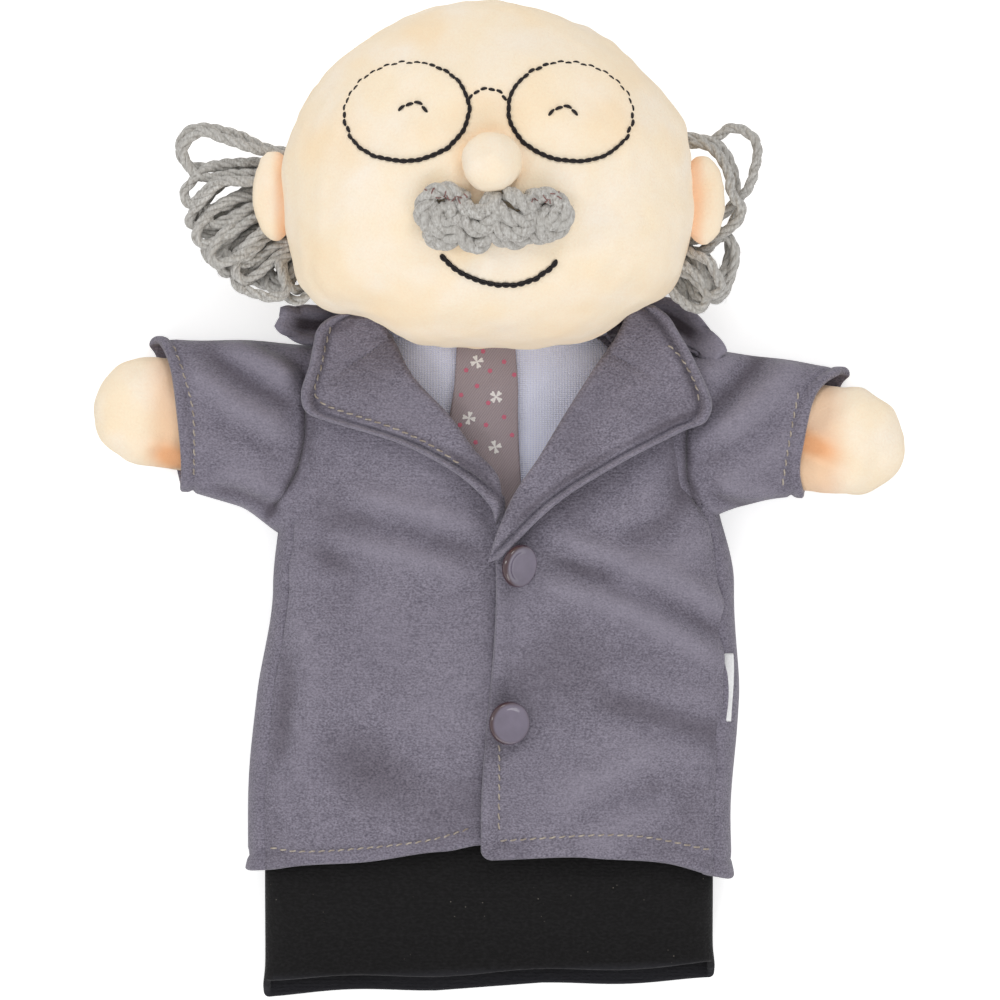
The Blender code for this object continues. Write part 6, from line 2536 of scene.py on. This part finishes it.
    def build(self) -> list[Object]:
        """Make the coat's panels.

        Returns:
            The two fronts and the back.
        """
        seam = 0.0002 / (self.glove.front_rise + self.glove.back_drop)
        offset, ease = self.outer, self.side_ease
        left = self.panel(
            lambda y: self.glove.front_angle(self.left_edge(y), y, offset, ease),
            lambda y: math.pi - self.side_angle - seam + 0.0 * y,
            rimmed_steps(74, rim=0.016),
            False,
        )
        right = self.panel(
            lambda y: self.glove.front_angle(self.right_edge(y), y, offset, ease),
            lambda y: self.side_angle + seam + 0.0 * y,
            rimmed_steps(84, rim=0.014),
            True,
        )
        back = self.panel(
            lambda y: math.pi - self.side_angle - self.tuck + 0.0 * y,
            lambda y: 2 * math.pi + self.side_angle + self.tuck + 0.0 * y,
            rimmed_steps(110, rim=0.010),
            False,
        )
        pieces = []
        for name, grid, seed, ends in (
            ("coat_front_left", left, 81, 1),
            ("coat_front_right", right, 82, 1),
            ("coat_back", back, 83, 2),
        ):
            pieces.append(self.build_panel(name, grid, seed, ends))
        return pieces

    def build_panel(self, name: str, grid: Array, seed: int, ends: int) -> Object:
        """Make one panel with its hem, its edge and its side seam.

        Args:
            name: The node's name.
            grid: Its places.
            seed: Number that picks the waves.
            ends: How many of its sides lie in a side seam.

        Returns:
            The panel.
        """
        middle = np.array([self.glove.body_x, -0.03, 0.0125])
        cloth = Cloth(grid, self.wall, rounded=(True, False, True, True), inside=middle)
        hem = border_distance(grid, (True, False, False, False), False)
        side = border_distance(grid, (False, False, ends == 2, True), False)
        cloth.puff = 0.0007 * ramp(1.0 - hem / self.hem) - 0.0008 * np.exp(-(((hem - self.hem) / 0.0007) ** 2))
        if ends == 2:
            cloth.lift = 0.0004 * ripple(grid, 0.035, seed) - 0.0021 * ramp(1.0 - (side - 0.0016) / 0.0022)
        else:
            front = border_distance(grid, (False, False, True, False), False)
            under = ramp((grid[..., 1] + 0.004) / 0.010) * ramp(1.0 - front / 0.030)
            cloth.lift = self.relief(grid, seed) - 0.0012 * under - 0.0005 * np.exp(-((side / 0.0025) ** 2))
            groove = 0.0008 * np.exp(-(((front - self.placket) / 0.0008) ** 2))
            cloth.puff = cloth.puff + 0.0010 * ramp((self.placket + 0.0008 - front) / 0.0016) - groove
        panel = cloth.build(f"{name}_velour", finishes().coat)
        points = points_of(panel)
        # Painted shade in the fronts' folds and armhole seams, and a painted highlight on the fold ridges.
        if ends == 1:
            tint(panel, self.relief(points, seed))
        declare(panel, cloth, Held.STRETCHED, "shirt_back" if ends == 2 else "shirt_front")
        return enter(panel, "coat_cloth", name)


@dataclass
class Collar:
    """The collar behind the neck, whose open ends show beside the head. Lines are in millimetres."""

    glove: GloveForm
    line: tuple[tuple[float, float, float], ...] = (
        (-61.2, 50.8, 15.5), (-56.0, 49.2, 14.5), (-49.0, 48.6, 12.5), (-38.0, 49.6, 7.0), (-20.0, 49.8, 5.0),
        (0.0, 49.8, 5.0), (20.0, 49.8, 5.0), (38.0, 50.4, 8.0), (46.0, 51.0, 12.0), (52.0, 47.4, 14.5),
        (57.5, 43.2, 15.5), (61.8, 39.8, 15.5),
    )
    half_width: float = 0.0040
    thickness: float = 0.0030
    depth: float = 0.0048
    left_round: float = 0.0085
    right_round: float = 0.0190

    def build(self) -> None:
        """Make the folded band."""
        path = smooth_path(np.array(self.line) * MM, 0.0007)
        run = np.concatenate([[0.0], np.cumsum(np.linalg.norm(np.diff(path, axis=0), axis=1))])
        left = np.sqrt(1.0 - (1.0 - np.minimum(run / self.left_round, 1.0)) ** 2)
        right = np.sqrt(1.0 - (1.0 - np.minimum((run[-1] - run) / self.right_round, 1.0)) ** 2)
        half = self.half_width * left * right + 0.0004
        deep = self.depth * ramp(run / 0.0085) * ramp((run[-1] - run) / 0.016)
        way = np.gradient(path, axis=0)
        flat = way[:, :2] / np.linalg.norm(way[:, :2], axis=1, keepdims=True)
        cross = np.stack([-flat[:, 1], flat[:, 0], np.zeros(len(flat))], axis=1)
        turn = np.linspace(-1.0, 1.0, 56)[None, :]
        grid = path[:, None] + cross[:, None] * (half[:, None] * np.sin(turn * 1.62))[..., None]
        grid[..., 2] += self.depth / 2 - deep[:, None] * (1.0 - np.abs(turn) ** 3) - 0.0012 * np.abs(turn) ** 8
        grid[..., 2] = np.maximum(grid[..., 2], self.thickness / 2)
        cloth = Cloth(grid, self.thickness)
        cloth.lift = 0.0001 * ripple(grid, 0.012, 91)
        collar = cloth.build("collar_velour", finishes().coat)
        # Painted shade in the collar's trough and a painted highlight on its lips.
        points = points_of(collar)
        distance, share = line_distance(points[:, 0], points[:, 1], path[::4, :2])
        inner = ramp((share - 0.022) / 0.030) * ramp((0.965 - share) / 0.040)
        hollow = (1.0 - ramp((distance - 0.0008) / 0.0018)) * inner
        store(collar, "shade", 0.85 * hollow)
        store(collar, "painted_highlight", 0.50 * (1.0 - hollow))
        declare(collar, cloth, Held.FOLDED, "coat_back")
        enter(collar, "coat_cloth", "collar")


@dataclass
class Buttons:
    """Two glossy shank buttons on the right front."""

    coat: Coat
    radius: float = 0.0060
    thickness: float = 0.0026
    dish: float = 0.0003
    rim: float = 0.0010
    shank_radius: float = 0.0017
    shank_length: float = 0.0016
    upper_below: float = 0.0638
    lower_below: float = 0.1074
    from_edge: float = 0.0056
    upper_tilt: float = math.radians(44.0)
    lower_tilt: float = math.radians(24.0)

    def build(self, carrier: Object) -> None:
        """Make both buttons on the cloth.

        Args:
            carrier: The right front.
        """
        seat = Seat(carrier)
        for name, below, tilt, turn in (
            ("button_upper", self.upper_below, self.upper_tilt, math.radians(-14.0)),
            ("button_lower", self.lower_below, self.lower_tilt, math.radians(-10.0)),
        ):
            y = self.coat.glove.shoulder_y - below
            x = float(self.coat.glove.middle(np.array(y))) + self.coat.front_edge_x + self.from_edge
            place, _ = seat.drop(x, y)
            lift = self.shank_length + 0.62 * self.radius * math.sin(tilt)
            self.build_button(name, np.array(place) + [0.0, 0.0, lift], tilt, turn)

    def profile(self) -> Array:
        """Half the section, from the middle of the face round to the shank's end.

        Returns:
            Places from the middle outwards.
        """
        rough = (
            (0.0, self.thickness - self.dish),
            (self.radius * 0.35, self.thickness - self.dish * 0.98),
            (self.radius * 0.60, self.thickness - self.dish * 0.85),
            (self.radius - 1.8 * self.rim, self.thickness - self.dish * 0.35),
            (self.radius - self.rim, self.thickness),
            (self.radius - self.rim * 0.45, self.thickness * 0.98),
            (self.radius - self.rim * 0.08, self.thickness * 0.78),
            (self.radius, self.thickness * 0.5),
            (self.radius - self.rim * 0.35, self.thickness * 0.16),
            (self.radius - self.rim, 0.0),
            (self.shank_radius * 1.2, -0.0001),
            (self.shank_radius, -self.shank_length * 0.4),
            (self.shank_radius, -self.shank_length - 0.0012),
        )
        return smooth_path(np.array(rough), 0.00022)

    def build_button(self, name: str, place: Array, tilt: float, turn: float) -> None:
        """Turn one button on its lathe and set it on the coat.

        Args:
            name: The node's name.
            place: The middle of its underside.
            tilt: How far it leans over.
            turn: Which way it leans.
        """
        profile = self.profile()
        profile[:, 0] = np.maximum(profile[:, 0], 0.0)
        turns = np.linspace(0.0, 2 * math.pi, 96, endpoint=False)
        ring = np.stack([np.cos(turns), np.sin(turns)], axis=1)
        flat = profile[:, :1, None] * ring[None]
        grid = np.concatenate([flat, np.broadcast_to(profile[:, 1:, None], (*flat.shape[:2], 1))], axis=2)
        lean = np.array(
            [[math.cos(tilt), 0.0, math.sin(tilt)], [0.0, 1.0, 0.0], [-math.sin(tilt), 0.0, math.cos(tilt)]]
        )
        spin = np.array(
            [[math.cos(turn), -math.sin(turn), 0.0], [math.sin(turn), math.cos(turn), 0.0], [0.0, 0.0, 1.0]]
        )
        points = grid.reshape(-1, 3) @ (spin @ lean).T + place
        index = np.arange(len(points)).reshape(grid.shape[:2])
        button = mesh_piece(f"{name}_plastic", points, grid_faces(index, True), finishes().button, mend=True)
        # Painted shade: a darker, redder rim that is strongest on the left side, and a darker underside; the rim's tone
        # is partly the plastic's own.
        local = (points_of(button) - place) @ (spin @ lean)
        reach = np.hypot(local[:, 0], local[:, 1]) / self.radius
        edge = ramp((reach - 0.80) / 0.16) * (0.35 + 0.65 * ramp(0.5 - local[:, 0] / self.radius))
        store(button, "shade", np.clip(edge + 0.6 * (local[:, 2] < self.thickness * 0.3), 0.0, 1.0))
        enter(button, "button_plastic", name)


@dataclass
class Label:
    """A blank folded label in the side seam, which takes a little of its width."""

    coat: Coat
    length: float = 0.0190
    width: float = 0.0085
    shown: float = 0.0014
    cut_width: float = 0.0100
    thickness: float = 0.0005
    top_below: float = 0.0884

    def build(self) -> None:
        """Make the label."""
        glove = self.coat.glove
        top = glove.shoulder_y - self.top_below
        y = np.linspace(top - self.length, top, 40)[:, None]
        height = glove.front_rise + glove.back_drop + self.coat.outer
        first = self.coat.side_angle - self.shown / height
        angle = blend(first, first + self.width / height, rimmed_steps(30, rim=0.04)[None, :])
        under = ramp((angle - self.coat.side_angle + 0.06) / 0.06)
        grid = glove.point(angle, y, blend(self.coat.outer + 0.0010, 0.0010, under), self.coat.side_ease)
        cloth = Cloth(grid, self.thickness, inside=np.array([glove.body_x, top, 0.012]))
        cloth.lift = 0.0003 * np.sin(y * 260.0) + 0.0 * angle
        label = cloth.build("care_label_satin", finishes().label)
        enter(label, "label_satin", "care_label")


@dataclass
class Stitching:
    """The tan topstitching on the coat. Lines are in millimetres."""

    left_front: tuple[Places, ...] = (((-66.3, -96.2), (-52.1, -97.6), (-22.2, -94.8), (-5.8, -90.4)),)
    right_front: tuple[Places, ...] = (((0.3, -94.3), (34.9, -92.9), (60.5, -97.6)), ((0.0, -67.7), (0.0, -93.7)))
    left_lapel: tuple[Places, ...] = (
        (
            (-46.6, 48.0), (-48.0, 43.4), (-49.2, 37.4), (-51.0, 30.6), (-49.6, 27.4), (-45.4, 25.2), (-30.0, 20.2),
            (-19.0, 15.2), (-9.4, 8.9)
        ),
        ((-5.3, 1.7), (-1.9, -5.8)),
    )
    right_lapel: tuple[Places, ...] = (((46.9, 43.0), (51.3, 38.3), (54.9, 31.1), (55.2, 27.2)),)
    left_sleeve: tuple[Places, ...] = (((-90.7, 43.0), (-87.4, 34.4), (-85.1, 25.2), (-84.6, 14.4), (-85.1, 4.4)),)
    right_sleeve: tuple[Places, ...] = (((83.2, 29.9), (80.4, 15.3), (78.8, 3.6)),)

    def build(self, carriers: dict[str, Object]) -> None:
        """Sew every line onto its carrier.

        Args:
            carriers: The pieces by the names of the fields.
        """
        strands = Strands(5)
        for name, piece in carriers.items():
            seat = Seat(piece)
            for line in getattr(self, name):
                Topstitch(line).sew(strands, seat)
        enter(strands.build("coat_topstitch", finishes().tan_thread), "coat_cloth")


def make_sleeves(glove: GloveForm) -> list[Object]:
    """Make both sleeves.

    Args:
        glove: The glove's form.

    Returns:
        The left and the right sleeve.
    """
    left = Sleeve(
        glove,
        "sleeve_left",
        -1,
        (-0.0440, -0.0285),
        0.0265,
        (-0.0892, -0.0218),
        0.0213,
        math.radians(8.8),
        0.0024,
        0.0050,
        ((-53.9, 34.0), (-53.9, 24.5), (-54.5, 15.6), (-57.0, 6.7), (-65.0, -5.3)),
        (
            Fold(((-84.5, 44.0), (-77.0, 38.0), (-68.5, 31.5), (-54.8, 24.9)), 3.8, 3.8),
            Fold(((-76.7, 47.3), (-66.0, 42.5), (-53.1, 35.6)), 2.4, 2.4),
            Fold(((-83.0, 24.0), (-72.0, 19.0), (-58.0, 10.0)), 1.6, 3.6),
            Fold(((-81.8, 3.6), (-70.0, 1.0), (-59.5, -4.8)), 2.6, 2.6),
        ),
    )
    right = Sleeve(
        glove,
        "sleeve_right",
        1,
        (0.0440, -0.0270),
        0.0250,
        (0.0931, -0.0268),
        0.0184,
        math.radians(17.2),
        0.0050,
        0.0030,
        ((52.3, 30.0), (52.3, 20.8), (52.3, 6.7), (55.6, -1.7), (59.8, -7.5)),
        (
            Fold(((77.0, 47.2), (68.3, 33.8), (53.3, 20.3)), 4.2, 4.4),
            Fold(((82.0, 26.0), (70.0, 18.0), (54.0, 8.0)), 2.0, 4.0),
            Fold(((56.6, 3.0), (66.0, -0.6), (78.4, -3.2)), 3.0, 2.4),
        ),
    )
    return [left.build(), right.build()]


def make_arms(glove: GloveForm) -> None:
    """Make both mitten arms.

    Args:
        glove: The glove's form.
    """
    left_crease = Fold(((-98.9, 14.3), (-88.8, 11.2)), 0.7, 1.6)
    right_crease = Fold(((82.6, 17.2), (97.1, 11.1)), 1.1, 1.8)
    Arm(glove, "arm_left", -1, (-0.0380, -0.0240), (-0.1103, -0.0205), (-0.0892, -0.0218), left_crease).build()
    Arm(glove, "arm_right", 1, (0.0380, -0.0240), (0.1159, -0.0302), (0.0931, -0.0268), right_crease).build()


def make_lapels(glove: GloveForm, coat: Coat) -> list[Object]:
    """Make both lapels.

    Args:
        glove: The glove's form.
        coat: The coat that they lie on.

    Returns:
        The left and the right lapel.
    """
    left = Lapel(
        glove,
        "lapel_left",
        -1,
        ((1.1, -3.3), (-0.3, 6.7), (-6.9, 14.1), (-13.6, 23.3), (-23.6, 34.1), (-28.6, 43.6), (-33.5, 51.0)),
        (
            (-0.6, -6.9), (-2.5, -1.4), (-9.4, 5.5), (-19.1, 11.6), (-30.2, 16.6), (-46.9, 21.6), (-53.5, 24.4),
            (-54.9, 29.9), (-52.7, 37.2), (-51.5, 43.3), (-50.4, 47.4), (-47.6, 50.2), (-43.4, 51.9),
        ),
    )
    right = Lapel(
        glove,
        "lapel_right",
        1,
        ((-3.1, -17.2), (-0.3, -8.3), (4.3, 1.9), (11.2, 12.2), (18.6, 24.4), (27.0, 37.6), (32.6, 45.6), (36.0, 53.5)),
        (
            (0.3, -16.6), (9.7, -6.7), (19.7, 1.7), (36.3, 11.6), (51.3, 19.1), (57.1, 21.4), (59.1, 25.8),
            (58.0, 30.5), (53.5, 40.2), (49.9, 46.4), (47.0, 51.0), (43.0, 54.0),
        ),
    )
    return [left.build(coat), right.build(coat)]


def main() -> None:
    """Build every sub-assembly in order."""
    logging.basicConfig(level=logging.INFO, format="%(name)s: %(message)s")
    Studio().build()
    glove = GloveForm()
    head = Head(glove)
    skull = head.build()
    StitchedFace(head).build(skull)
    Moustache(head).build(skull)
    Hair(head).build()
    Shirt(glove).build()
    Trousers(glove).build()
    make_arms(glove)
    sleeves = make_sleeves(glove)
    coat = Coat(glove)
    fronts = coat.build()
    lapels = make_lapels(glove, coat)
    Collar(glove).build()
    Buttons(coat).build(fronts[1])
    Label(coat).build()
    carriers = {
        "left_front": fronts[0],
        "right_front": fronts[1],
        "left_lapel": lapels[0],
        "right_lapel": lapels[1],
        "left_sleeve": sleeves[0],
        "right_sleeve": sleeves[1],
    }
    Stitching().build(carriers)


if __name__ == "__main__":
    main()
